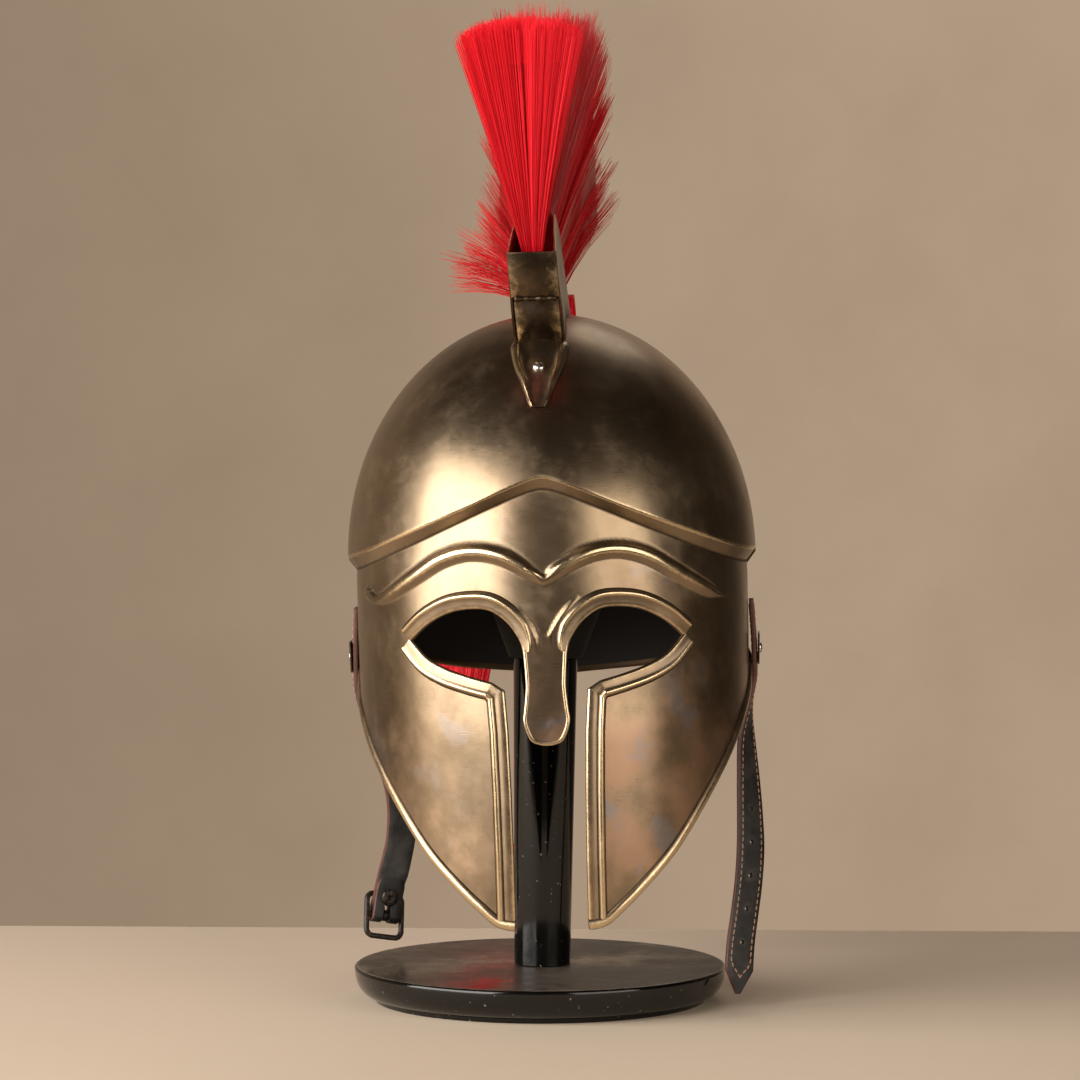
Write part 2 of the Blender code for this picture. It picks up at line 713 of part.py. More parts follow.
def crest_strip(index):
    """One strip of the crest: a fan of hair from the backing to its cut end."""
    share = index / (CREST_STRIPS - 1)
    root = HAIR_FRONT + math.radians(2.2) + (HAIR_REAR - HAIR_FRONT - math.radians(4.4)) * share
    lean = math.radians(curve_through(CREST, 1, share))
    tip_radius = CREST_RADIUS * curve_through(CREST, 2, share) * (1 - 0.012 * (index % 2))
    half_tip = CREST_WIDTH / 2 * curve_through(CREST, 3, share) * (1 - 0.06 * (index % 2))
    shift = CREST_WIDTH / 2 * curve_through(CREST, 4, share)
    spacing = (HAIR_REAR - HAIR_FRONT + math.radians(11.0)) / CREST_STRIPS
    start_radius = HOLDER_RADIUS - 0.010
    rings = []
    for along in (0.0, 0.2, 0.55, 0.95, 1.0):
        radius = start_radius + (tip_radius - start_radius) * along
        angle = root + lean * along
        half = HAIR_ROOT_WIDTH * 0.46 + (half_tip - HAIR_ROOT_WIDTH * 0.46) * along**0.9
        thick = spacing * radius * (0.52 + 0.10 * along)
        if along == 1.0:
            half, thick = half * 0.93, thick * 0.72
        ring = []
        for k in range(8):
            turn = math.tau * (k + 0.5) / 8
            u = math.copysign(abs(math.cos(turn)) ** 0.6, math.cos(turn))
            v = math.copysign(abs(math.sin(turn)) ** 0.8, math.sin(turn))
            crown = 1 - 0.018 * u * u * along
            around = angle + v * thick / radius
            ring.append(crown_point(around, radius * crown, half * u + shift * along))
        rings.append(ring)
    return loft(f"crest_strip_{index}", rings, None, helmet_axis, CUTTERS)


def make_plume():
    """Backing strip in the holder's channel, with the crest's strips joined to it."""
    steps = 12
    rings = []
    half = HAIR_ROOT_WIDTH / 2
    for i in range(steps + 1):
        angle = HAIR_FRONT + (HAIR_REAR - HAIR_FRONT) * i / steps
        low = dome_radius(angle, 0) + CLEARANCE * 2
        high = HOLDER_RADIUS - 0.006
        rings.append([crown_point(angle, low, half), crown_point(angle, low, -half),
                      crown_point(angle, high, -half), crown_point(angle, high, half)])
    plume = loft("plume", rings, HAIR, helmet_axis)
    for index in range(CREST_STRIPS):
        boolean(plume, crest_strip(index), "UNION")


def make_tail():
    """The hair that falls behind: locks side by side, joined from the root to near their tips."""
    root_angle = (HAIR_REAR + HOLDER_REAR) / 2
    root_share = 0.32
    rows = []
    for radius in (dome_radius(root_angle, 0) + CLEARANCE * 3, HOLDER_RADIUS + CLEARANCE):
        place = crown_point(root_angle, radius, 0)
        rows.append((place.y / TAIL_REACH, place.z / TAIL_DROP, 0.0, root_share))
    rows += TAIL
    lanes = [(0.0, 0.0, 1.0, 1.0), (-0.62, 0.25, 0.86, 0.93), (0.60, 0.2, 0.84, 0.96),
             (-0.32, -0.55, 0.8, 0.88), (0.34, -0.5, 0.78, 0.90)]
    tail = None
    for index, (side, depth, size, length) in enumerate(lanes):
        path, radii = [], []
        for back, up, aside, thick in smooth_path(rows, 1)[:round(len(rows) * length)]:
            spread = TAIL_WIDTH / 2 * thick * min(1.0, 0.35 + 0.75 * max(0.0, thick - root_share))
            path.append(Vector((aside * TAIL_WIDTH + side * spread,
                                back * TAIL_REACH + depth * spread * 0.6, up * TAIL_DROP)))
            radii.append(TAIL_ROOT_DIAMETER / 2 * size * (0.6 + 0.8 * thick))
        radii[-1] *= 0.35
        if index == 0:
            tail = tube("plume_tail", path, radii, 8, HAIR, helmet_axis)
        else:
            lock = tube(f"tail_lock_{index}", path, radii, 8, None, helmet_axis, CUTTERS)
            boolean(tail, lock, "UNION")


# Straps

def strap_route(side, table, drop):
    """Centre points and twists: on the ear's outside, then the table's hanging stretch."""
    def ear(down, gap):
        x = side * (wall_size(1, -down) + gap + STRAP_THICKNESS / 2)
        return HELMET_MATRIX @ Vector((x, STRAP_BACK, -down))
    rim_gap = BORDER_HEIGHT + CLEARANCE * 2
    halfway = (STRAP_TOP_DROP + STRAP_EDGE_DROP) / 2
    rows = [(ear(STRAP_TOP_DROP, CLEARANCE * 1.5), 0), (ear(halfway, rim_gap * 0.7), 0),
            (ear(STRAP_EDGE_DROP, rim_gap), 0)]
    edge = rows[-1][0]
    for out, back, down, twist in table:
        rows.append((edge + Vector((side * out, back, -down)) * drop, twist))
    return smooth_path([(*point, math.radians(twist)) for point, twist in rows], 2)


def ribbon_frames(rows):
    """Centre, down-strap direction, width direction and normal at each row of a strap's route."""
    frames = []
    for i, row in enumerate(rows):
        before, after = rows[max(i - 1, 0)], rows[min(i + 1, len(rows) - 1)]
        down = Vector(after[:3]) - Vector(before[:3])
        down.normalize()
        width = Vector((math.sin(row[3]), math.cos(row[3]), 0))
        width = (width - down * down.dot(width)).normalized()
        frames.append((Vector(row[:3]), down, width, down.cross(width)))
    return frames


def ribbon(name, frames, widths, collection=PARTS):
    rings = []
    for (centre, _, width, normal), size in zip(frames, widths):
        half, thick = width * size / 2, normal * STRAP_THICKNESS / 2
        rings.append([centre + half + thick, centre - half + thick,
                      centre - half - thick, centre + half - thick])
    return loft(name, rings, LEATHER, None, collection)


def along_strap(frames, distance):
    """Frame at a distance back up the strap from its end."""
    for (here, down, width, normal), (above, *_) in zip(frames[::-1], frames[-2::-1]):
        span = (above - here).length
        if distance <= span:
            return here + (above - here) * distance / span, down, width, normal
        distance -= span
    return frames[0]


def make_right_strap():
    """The long strap: a pointed tip and a row of punched holes."""
    frames = ribbon_frames(strap_route(1, STRAP_RIGHT, STRAP_RIGHT_DROP))
    tip = along_strap(frames, STRAP_POINT)
    kept = [f for f in frames if (f[0] - frames[-1][0]).length > STRAP_POINT * 1.2]
    kept += [tip, along_strap(frames, STRAP_POINT * 0.45), frames[-1]]
    widths = [STRAP_WIDTH] * (len(kept) - 2) + [STRAP_WIDTH * 0.52, STRAP_WIDTH * 0.1]
    strap = ribbon("strap_right", kept, widths)
    for i in range(STRAP_HOLE_COUNT):
        centre, _, _, normal = along_strap(frames, STRAP_FIRST_HOLE + STRAP_HOLE_PITCH * i)
        radius, reach = STRAP_HOLE / 2, STRAP_THICKNESS
        outline = [(0, reach), (radius, reach), (radius, -reach), (0, -reach)]
        punch = turned(f"punch_{i}", outline, None, None, 8, CUTTERS)
        punch.matrix_local = facing(centre, normal)
        boolean(strap, punch, "DIFFERENCE")


def make_left_strap():
    """The short strap, folded round the buckle's bar. Returns the matrix of the bar's middle."""
    frames = ribbon_frames(strap_route(-1, STRAP_LEFT, STRAP_LEFT_DROP))
    bar, down, width, normal = frames[-1]
    away = normal if normal.y > 0 else -normal
    matrix = Matrix((width, away, -down)).transposed().to_4x4()
    if matrix.determinant() < 0:
        raise ValueError("the buckle's frame is left-handed")
    matrix.translation = bar
    lift = away * STRAP_THICKNESS / 2
    kept = [f for f in frames if (f[0] - bar).length > FOLD_LENGTH * 1.1]
    count = len(kept)
    fold_top = (bar - down * FOLD_LENGTH, down, width, normal)
    kept += [(fold_top[0] + lift * 0.3, down, width, normal),
             (bar - down * FOLD_LENGTH * 0.6 + lift, down, width, normal)]
    widths = [STRAP_WIDTH] * (count - 1) + [STRAP_WIDTH * 0.97, FOLD_WIDTH, FOLD_WIDTH]
    strap = ribbon("strap_left", kept, widths)
    hug = BUCKLE_BAR / 2 + CLEARANCE * 1.5
    outer = hug + STRAP_THICKNESS * 0.85
    layer = STRAP_THICKNESS * 1.04
    sides = 20
    bar_hole = [(math.cos(math.tau * k / sides) * hug, math.sin(math.tau * k / sides) * hug)
                for k in range(sides)]
    start = math.acos(layer / outer)
    sweep = math.pi + 2 * start
    bend = [(math.cos(start - sweep * k / 14) * outer, math.sin(start - sweep * k / 14) * outer)
            for k in range(15)]
    side_view = [(layer, FOLD_LENGTH * 0.9)] + bend
    side_view += [(-layer, FOLD_LENGTH * 0.95), (-layer * 0.1, FOLD_LENGTH)]
    across = matrix @ Matrix(((0, 0, 1, 0), (1, 0, 0, 0), (0, 1, 0, 0), (0, 0, 0, 1)))
    fold = plate("fold", [side_view, bar_hole], FOLD_WIDTH * 0.99, None, None, across, CUTTERS)
    boolean(strap, fold, "UNION")
    slot = [(-FOLD_SLOT / 2, -outer * 1.5), (FOLD_SLOT / 2, -outer * 1.5), (FOLD_SLOT / 2, outer * 2),
            (-FOLD_SLOT / 2, outer * 2)]
    stand = matrix @ Matrix.Rotation(math.pi / 2, 4, "X")
    boolean(strap, plate("fold_slot", [slot], outer * 4, None, None, stand, CUTTERS), "DIFFERENCE")
    return matrix


def make_strap_plates():
    """The plate and rivet that hold each strap to the ear."""
    for side, label in ((1, "right"), (-1, "left")):
        level = -STRAP_EDGE_DROP + PLATE_HEIGHT / 2
        share = (STRAP_EDGE_DROP + level) / (STRAP_EDGE_DROP - STRAP_TOP_DROP)
        gap = (BORDER_HEIGHT + CLEARANCE * 2) * (1 - share * 0.5)
        x = side * (wall_size(1, level) + gap + STRAP_THICKNESS + CLEARANCE * 2 + PLATE_THICKNESS / 2)
        half_w, half_h = PLATE_WIDTH / 2, PLATE_HEIGHT / 2
        outline = [(-half_w, -half_h), (half_w, -half_h), (half_w, half_h), (-half_w, half_h)]
        matrix = facing((x, STRAP_BACK, level), (side, 0, -0.03))
        plate("strap_plate_" + label, [outline], PLATE_THICKNESS, DARK_BRONZE, helmet_axis, matrix)
        seat = Matrix.Translation((0, 0, PLATE_THICKNESS / 2 + CLEARANCE))
        head = rivet_profile(PLATE_RIVET_DIAMETER, 0.0014)
        rivet = turned("strap_rivet_" + label, head, DARK_BRONZE, helmet_axis, 12)
        rivet.matrix_local = matrix @ seat


# Buckle, in the frame of its bar: X along the bar, Y away from the fold's flap, Z up the strap

def make_buckle(matrix):
    bar_axis = add_empty("buckle_axis", matrix)
    half_w = (BUCKLE_WIDTH - BUCKLE_WIRE) / 2
    half_h = (BUCKLE_HEIGHT - BUCKLE_WIRE) / 2
    lean = Matrix.Rotation(-BUCKLE_TILT, 4, "X")
    loop = []
    corners = ((half_w, half_h, 0), (-half_w, half_h, 90),
               (-half_w, -half_h, 180), (half_w, -half_h, 270))
    for x, z, start in corners:
        middle = (x - math.copysign(BUCKLE_CORNER, x), z - math.copysign(BUCKLE_CORNER, z))
        for k in range(4):
            turn = math.radians(start + 30 * k)
            loop.append(lean @ Vector((middle[0] + BUCKLE_CORNER * math.cos(turn), 0,
                                       middle[1] + BUCKLE_CORNER * math.sin(turn))))
    radii = [BUCKLE_WIRE / 2] * len(loop)
    frame = tube("buckle_frame", loop, radii, 8, BLACK_METAL, bar_axis, cyclic=True)
    ends = [(-half_w, 0, 0), (half_w, 0, 0)]
    bar = tube("buckle_bar", ends, [BUCKLE_BAR / 2] * 2, 10, None, bar_axis, CUTTERS)
    boolean(frame, bar, "UNION")

    hug = BUCKLE_BAR / 2 + CLEARANCE * 1.2
    outer = hug + TONGUE_WIRE
    sides = 16
    turns = [math.tau * k / sides for k in range(sides)]
    circles = [[(math.cos(turn) * r, math.sin(turn) * r) for turn in turns] for r in (outer, hug)]
    across = Matrix.Rotation(math.pi / 2, 4, "Y")
    tongue = plate("buckle_tongue", circles, TONGUE_WIDTH, BLACK_METAL, bar_axis, across)
    rest = BUCKLE_WIRE / 2 + CLEARANCE * 1.5 + TONGUE_WIRE / 2
    angle = BUCKLE_TILT + math.asin(rest / half_h)
    direction = Vector((0, math.sin(angle), math.cos(angle)))
    reach = half_h + BUCKLE_WIRE * 0.6
    path = [direction * (hug + TONGUE_WIRE * 0.35), direction * reach * 0.6, direction * reach]
    radii = [TONGUE_WIRE / 2, TONGUE_WIRE / 2, TONGUE_WIRE * 0.32]
    prong = tube("tongue_prong", path, radii, 8, None, bar_axis, CUTTERS)
    boolean(tongue, prong, "UNION")

    seat = -STRAP_THICKNESS * 0.98 * 0.95 - CLEARANCE
    radius, height = FOLD_RIVET_DIAMETER / 2, 0.0014
    profile = [(0, height * 0.5), (radius * 0.22, height * 0.6), (radius * 0.34, height),
               (radius * 0.62, height), (radius * 0.95, height * 0.5), (radius, 0), (0, 0)]
    rivet = turned("fold_rivet", profile, BLACK_METAL, bar_axis, 20)
    rivet.matrix_local = facing((0, seat, FOLD_RIVET_RISE), (0, -1, 0))


# Stand

def make_stand():
    radius, foot = BASE_DIAMETER / 2, BASE_FOOT_DIAMETER / 2
    top_edge = 0.0015
    profile = [(0, BASE_THICKNESS), (radius - top_edge, BASE_THICKNESS),
               (radius, BASE_THICKNESS - top_edge)]
    waist = BASE_THICKNESS - top_edge - BASE_FOOT_HEIGHT
    for k in range(1, 5):
        turn = math.pi / 2 * k / 4
        profile.append((foot + (radius - foot) * math.cos(turn),
                        BASE_FOOT_HEIGHT + waist * (1 - math.sin(turn))))
    profile += [(foot - 0.002, BASE_FOOT_HEIGHT * 0.6), (foot - 0.002, 0), (0, 0)]
    turned("stand_base", profile, WOOD, None, 36)

    seat = CLEARANCE + POST_FOOT_DIAMETER / 2 * math.sin(POST_LEAN)
    top = seat + POST_LENGTH
    profile = [(0, top), (POST_TOP_DIAMETER / 2, top), (POST_FOOT_DIAMETER / 2, seat), (0, seat)]
    turned("stand_post", profile, WOOD, stand_axis, 24)

    block = BLOCK_DIAMETER / 2
    low = top + CLEARANCE
    profile = [(0, PIVOT_LEVEL + block)]
    for k in range(1, 7):
        turn = math.pi / 2 * k / 6
        profile.append((block * math.sin(turn), PIVOT_LEVEL + block * math.cos(turn)))
    for along, share in ((0.3, 0.97), (0.65, 0.80), (1.0, 0.44)):
        profile.append((block * share, PIVOT_LEVEL + (low - PIVOT_LEVEL) * along))
    profile.append((0, low))
    turned("head_block", profile, WOOD, stand_axis, 24)


make_stand()
make_helmet()
make_holder()
make_holder_rivets()
make_plume()
make_tail()
make_right_strap()
buckle_matrix = make_left_strap()
make_strap_plates()
make_buckle(buckle_matrix)
bpy.context.view_layer.update()
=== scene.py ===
"""The looks of a bronze helmet with a hair crest, on a turned stand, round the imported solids."""
import math

import bmesh
import bpy
import numpy as np
from mathutils import Matrix, Vector


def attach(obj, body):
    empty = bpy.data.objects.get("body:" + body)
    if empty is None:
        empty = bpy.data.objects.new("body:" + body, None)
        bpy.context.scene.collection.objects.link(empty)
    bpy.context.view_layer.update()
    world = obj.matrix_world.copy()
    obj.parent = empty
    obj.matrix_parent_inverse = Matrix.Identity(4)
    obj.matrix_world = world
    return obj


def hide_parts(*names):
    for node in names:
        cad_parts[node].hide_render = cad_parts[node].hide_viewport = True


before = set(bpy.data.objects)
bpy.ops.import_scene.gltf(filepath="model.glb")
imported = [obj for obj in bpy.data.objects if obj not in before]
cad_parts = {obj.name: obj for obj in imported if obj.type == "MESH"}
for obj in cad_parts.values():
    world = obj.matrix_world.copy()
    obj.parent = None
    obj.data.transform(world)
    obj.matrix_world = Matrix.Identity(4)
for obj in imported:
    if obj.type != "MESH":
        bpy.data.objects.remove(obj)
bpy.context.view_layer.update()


# The set: a long lens level with the crest holder, a pale plain floor, one large soft light from
# the left, a weaker one from the right, and dim warm air in front, so that the polished metal
# shows a dark middle between two bright sides.

LENS = 159.2
CAMERA_PLACE = (0.1043, -2.598, 0.399)
CAMERA_PITCH = math.radians(-3.25)
CAMERA_AZIMUTH = math.radians(2.3)
LIGHT_AIM = Vector((0.0, 0.0, 0.27))

camera_data = bpy.data.cameras.new("camera")
camera_data.lens = LENS
camera_data.sensor_width = 36.0
camera = bpy.data.objects.new("camera", camera_data)
camera.location = CAMERA_PLACE
camera.rotation_euler = (math.pi / 2 + CAMERA_PITCH, 0.0, CAMERA_AZIMUTH)
bpy.context.scene.collection.objects.link(camera)
bpy.context.scene.camera = camera
bpy.context.scene.view_settings.view_transform = "Standard"


class Value:
    """A node's output that takes part in sums: each sum adds a Math node."""

    def __init__(self, nodes, socket):
        self.nodes = nodes
        self.socket = socket

    def __add__(self, other):
        return self.nodes.maths("ADD", self, other)

    def __sub__(self, other):
        return self.nodes.maths("SUBTRACT", self, other)

    def __rsub__(self, other):
        return self.nodes.maths("SUBTRACT", other, self)

    def __mul__(self, other):
        return self.nodes.maths("MULTIPLY", self, other)

    def __truediv__(self, other):
        return self.nodes.maths("DIVIDE", self, other)

    def __pow__(self, other):
        return self.nodes.maths("POWER", self, other)

    __radd__ = __add__
    __rmul__ = __mul__


class Nodes:
    """A node tree, and the few kinds of step that the finishes are built from."""

    def __init__(self, tree):
        self.tree = tree

    def node(self, kind, settings=None, values=None, output=0):
        """A node of a kind, with its settings, then the values or links of its sockets."""
        made = self.tree.nodes.new(kind)
        for name, setting in (settings or {}).items():
            if name == "stops":
                self.set_stops(made.color_ramp, setting)
            else:
                setattr(made, name, setting)
        for socket, value in (values or {}).items():
            self.join(value, made.inputs[socket])
        return Value(self, made.outputs[output])

    def set_stops(self, ramp, stops):
        while len(ramp.elements) < len(stops):
            ramp.elements.new(1.0)
        for element, (place, colour) in zip(ramp.elements, stops):
            element.position = place
            element.color = (*colour, 1.0) if isinstance(colour, tuple) else (colour,) * 3 + (1.0,)

    def join(self, value, socket):
        if isinstance(value, Value):
            self.tree.links.new(value.socket, socket)
        else:
            socket.default_value = value

    def maths(self, operation, first, second=0.0):
        return self.node("ShaderNodeMath", {"operation": operation}, {0: first, 1: second})

    def limited(self, value, low, high):
        """A value stretched so that low becomes 0 and high becomes 1, and held between them."""
        return self.node("ShaderNodeMapRange", {"interpolation_type": "SMOOTHSTEP"},
                         {"Value": value, "From Min": low, "From Max": high})

    def mixed(self, share, colour, other):
        colours = [(*c, 1.0) if isinstance(c, tuple) else c for c in (colour, other)]
        return self.node("ShaderNodeMix", {"data_type": "RGBA"},
                         {0: share, 6: colours[0], 7: colours[1]}, output=2)

    def apart(self, vector, axis):
        return self.node("ShaderNodeSeparateXYZ", values={0: vector}, output=axis)


air = bpy.data.worlds.new("studio_air")
air.use_nodes = True
bpy.context.scene.world = air
air_nodes = Nodes(air.node_tree)
air_way = air_nodes.node("ShaderNodeTexCoord", output="Generated")
air_depth = air_nodes.apart(air_way, "Y")
air_colour = air_nodes.node("ShaderNodeValToRGB", {"stops": [
    (0.0, (0.075, 0.062, 0.050)), (0.42, (0.085, 0.070, 0.056)), (0.62, (0.26, 0.20, 0.145)),
    (1.0, (0.445, 0.325, 0.225))]}, {0: air_depth * 0.5 + 0.5})
air_cloud = air_nodes.node("ShaderNodeTexNoise", None, {"Vector": air_way, "Scale": 9.0, "Detail": 6.0,
                                                        "Roughness": 0.62})
air_colour = air_nodes.mixed(air_nodes.limited(air_cloud, 0.35, 0.70) * 0.28, air_colour, (0.26, 0.18, 0.12))
air_side = air_nodes.apart(air_way, "X")
air_colour = air_nodes.mixed(air_nodes.limited(air_side * -1.0, -0.04, 0.16) * 0.42, air_colour,
                             (0.15, 0.105, 0.07))
air_colour = air_nodes.mixed(air_nodes.limited(air_side, 0.22, 0.60) * 0.88, air_colour, (0.012, 0.009, 0.007))
air_high = air_nodes.apart(air_way, "Z")
air_colour = air_nodes.mixed(air_nodes.limited(air_high, 0.30, 0.70) * 0.85, air_colour, (0.020, 0.015, 0.011))
air_nodes.join(air_colour, air.node_tree.nodes["Background"].inputs["Color"])


def soft_light(name, azimuth, distance, height, size, power, colour):
    """Square soft box at an azimuth seen from above, where 0 is the camera's side, aimed inwards."""
    data = bpy.data.lights.new(name, "AREA")
    data.shape = "RECTANGLE"
    data.size, data.size_y = size
    data.energy = power
    data.color = colour
    lamp = bpy.data.objects.new(name, data)
    bpy.context.scene.collection.objects.link(lamp)
    turn = math.radians(azimuth)
    lamp.location = (distance * math.sin(turn), -distance * math.cos(turn), height)
    lamp.rotation_euler = (LIGHT_AIM - lamp.location).to_track_quat("-Z", "Y").to_euler()
    lamp.visible_camera = False


soft_light("key", -55, 2.0, 0.75, (2.4, 1.7), 92, (1.0, 0.95, 0.89))
soft_light("fill", 43, 2.2, 0.62, (1.7, 1.5), 24, (1.0, 0.91, 0.80))
soft_light("top", 170, 1.8, 1.9, (1.2, 0.9), 4, (1.0, 0.92, 0.82))

FLOOR_START = -0.42
FLOOR_END = 0.274
floor_mesh = bpy.data.meshes.new("floor")
floor_mesh.from_pydata([(-3, FLOOR_START, 0), (3, FLOOR_START, 0), (3, FLOOR_END, 0),
                        (-3, FLOOR_END, 0)], [], [(0, 1, 2, 3)])
floor = bpy.data.objects.new("floor", floor_mesh)
bpy.context.scene.collection.objects.link(floor)


class Finish(Nodes):
    """A material whose pattern lies in the object's own metres."""

    def __init__(self, name):
        self.material = bpy.data.materials.new(name)
        self.material.use_nodes = True
        super().__init__(self.material.node_tree)
        self.shader = self.tree.nodes["Principled BSDF"]
        self.place = self.node("ShaderNodeTexCoord", output="Object")

    def noise(self, scale, detail=3.0, rough=0.55, stretch=(1, 1, 1), warp=0.0):
        place = self.node("ShaderNodeMapping", {"vector_type": "POINT"},
                          {"Vector": self.place, "Scale": stretch})
        return self.node("ShaderNodeTexNoise", None,
                         {"Vector": place, "Scale": scale, "Detail": detail, "Roughness": rough,
                          "Distortion": warp})

    def painted(self, name):
        """A number that the piece's own mesh carries."""
        return self.node("ShaderNodeAttribute", {"attribute_name": name}, output="Fac")

    def facing_up(self):
        normal = self.node("ShaderNodeNewGeometry", output="Normal")
        return self.apart(normal, "Z")

    def relief(self, height, strength, depth):
        bump = self.node("ShaderNodeBump", None,
                         {"Height": height, "Strength": strength, "Distance": depth})
        self.join(bump, self.shader.inputs["Normal"])

    def dress(self, **sockets):
        for name, value in sockets.items():
            if isinstance(value, tuple):
                value = (*value, 1.0)
            self.join(value, self.shader.inputs[name.replace("_", " ").title()])
        return self


stone = Finish("pale_floor")
stone_patch = stone.noise(3.0, 4)
stone.dress(base_color=stone.mixed(stone_patch, (0.72, 0.585, 0.45), (0.80, 0.665, 0.52)), roughness=0.75)
floor_mesh.materials.append(stone.material)


# The stand: a turned foot, a tapered post and an egg-shaped block that the helmet hangs on, all
# of wood, turned on a lathe and painted gloss black. The foot's top is dusty and rubbed brown,
# and the post is specked and scratched.

CLEARANCE = 0.0003
SHEET = 0.0015
BASE_DIAMETER = 0.2032
BASE_THICKNESS = 0.019
BASE_FOOT_DIAMETER = 0.185
BASE_FOOT_HEIGHT = 0.003
POST_FOOT_DIAMETER = 0.0305
POST_TOP_DIAMETER = 0.035
POST_LENGTH = 0.168
POST_OFFSET = 0.0012
POST_LEAN = math.radians(0.6)
BLOCK_DIAMETER = 0.0914
HELMET_LEVEL = 0.224
DOME_HEIGHT = 0.1315
PIVOT_RISE = DOME_HEIGHT - SHEET - CLEARANCE - BLOCK_DIAMETER / 2
PIVOT_LEVEL = HELMET_LEVEL + PIVOT_RISE
STAND_MATRIX = (Matrix.Translation((POST_OFFSET, 0, BASE_THICKNESS))
                @ Matrix.Rotation(POST_LEAN, 4, "Y"))


def mesh_of(name, points, faces, matrix=Matrix()):
    """Closed mesh with its faces turned outwards, put in its place."""
    mesh = bpy.data.meshes.new(name)
    mesh.from_pydata([tuple(p) for p in points], [], faces)
    mesh.transform(matrix)
    body = bmesh.new()
    body.from_mesh(mesh)
    bmesh.ops.remove_doubles(body, verts=body.verts, dist=1e-7)
    bmesh.ops.recalc_face_normals(body, faces=body.faces)
    body.to_mesh(mesh)
    body.free()
    return mesh


def through_rings(name, rings, matrix=Matrix(), joined=False):
    """Body through rings of equal count, with filled ends or with its last ring joined to its first."""
    count = len(rings[0])
    points = [p for ring in rings for p in ring]
    faces = []
    for row in range(len(rings) if joined else len(rings) - 1):
        low, high = row * count, (row + 1) % len(rings) * count
        faces += [(low + i, low + (i + 1) % count, high + (i + 1) % count, high + i)
                  for i in range(count)]
    if not joined:
        faces += [tuple(range(count)), tuple(range(len(points) - count, len(points)))]
    return mesh_of(name, points, faces, matrix)


def turned(name, profile, matrix, steps=96):
    """Turned body from radii and heights, from its top to its foot."""
    turns = [math.tau * i / steps for i in range(steps)]
    return through_rings(name, [[(r * math.cos(t), r * math.sin(t), z) for t in turns]
                                for r, z in profile], matrix)


def fit(name, mesh, finish, slot, *stands_for, body="root", sharp=None):
    """Adds a finished piece, in the place of the solids that it stands for."""
    piece = bpy.data.objects.new(name, mesh)
    bpy.context.scene.collection.objects.link(piece)
    if finish:
        mesh.materials.clear()
        mesh.materials.append(finish.material)
    mesh.shade_smooth()
    if sharp:
        mesh.set_sharp_from_angle(angle=math.radians(sharp))
    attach(piece, body)
    if stands_for:
        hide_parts(*stands_for)
    return piece


def black_gloss(name, dust, rub_radius=None):
    """Black gloss paint on wood, with dust on what faces up and specks and scratches at the sides."""
    paint = Finish(name)
    patch = paint.noise(14.0, 5, 0.65)
    grain = paint.noise(60.0, 4, 0.7, (1, 6, 1))
    speck = paint.limited(paint.noise(520.0, 1, 0.4), 0.735, 0.76)
    scratch = paint.limited(paint.noise(90.0, 2, 0.5, (1.0, 1.0, 0.04)), 0.70, 0.74)
    level = paint.limited(paint.facing_up(), 0.85, 0.99)
    dusty = level * paint.limited(patch, 0.25, 0.75) * dust
    colour = paint.mixed(dusty, (0.0022, 0.002, 0.0018), (0.085, 0.066, 0.050))
    marks = speck * 0.7 + scratch * 0.07
    if rub_radius:
        across = paint.node("ShaderNodeVectorMath", {"operation": "MULTIPLY"},
                            {0: paint.place, 1: (1, 1, 0)})
        radius = paint.node("ShaderNodeVectorMath", {"operation": "LENGTH"}, {0: across}, "Value")
        rub = paint.limited(radius, rub_radius - 0.0030, rub_radius - 0.0012)
        marks = marks + rub * level * paint.limited(grain, 0.3, 0.6) * 0.75
    colour = paint.mixed(marks, colour, (0.22, 0.18, 0.145))
    paint.relief(grain + patch, 0.05, 0.0006)
    return paint.dress(base_color=colour, roughness=0.07 + dusty * 0.50 + grain * 0.07)


block_paint = Finish("matte_black_block")
block_paint.dress(base_color=(0.0018, 0.0017, 0.0016), roughness=0.7)
post_paint = black_gloss("black_gloss_post", 0.25)
foot_paint = black_gloss("black_gloss_foot", 1.15, BASE_DIAMETER / 2)

foot_radius, foot_inset = BASE_DIAMETER / 2, BASE_FOOT_DIAMETER / 2
foot_profile = [(0.0002, BASE_THICKNESS), (foot_radius - 0.0022, BASE_THICKNESS)]
foot_profile += [(foot_radius - 0.0018 * (1 - math.sin(t)), BASE_THICKNESS - 0.0018 * (1 - math.cos(t)))
                 for t in (0.4, 0.8, 1.2, math.pi / 2)]
foot_waist = BASE_THICKNESS - 0.0018 - BASE_FOOT_HEIGHT
foot_profile += [(foot_inset + (foot_radius - foot_inset) * math.cos(t),
                  BASE_FOOT_HEIGHT + foot_waist * (1 - math.sin(t)))
                 for t in (math.pi / 2 * k / 10 for k in range(1, 11))]
foot_profile += [(foot_inset - 0.0012, BASE_FOOT_HEIGHT - 0.0006), (foot_inset - 0.002, 0.0),
                 (0.0002, 0.0)]
fit("turned_foot", turned("turned_foot", foot_profile, Matrix(), 128), foot_paint, "black_wood",
    "stand_base", sharp=40)

post_seat = CLEARANCE + POST_FOOT_DIAMETER / 2 * math.sin(POST_LEAN)
post_top = post_seat + POST_LENGTH
post_profile = [(0.0002, post_top), (POST_TOP_DIAMETER / 2 - 0.0006, post_top),
                (POST_TOP_DIAMETER / 2, post_top - 0.0006),
                (POST_FOOT_DIAMETER / 2 + 0.0001, post_seat + 0.0006),
                (POST_FOOT_DIAMETER / 2, post_seat), (0.0002, post_seat)]
fit("tapered_post", turned("tapered_post", post_profile, STAND_MATRIX, 64), post_paint,
    "black_wood", "stand_post", sharp=40)

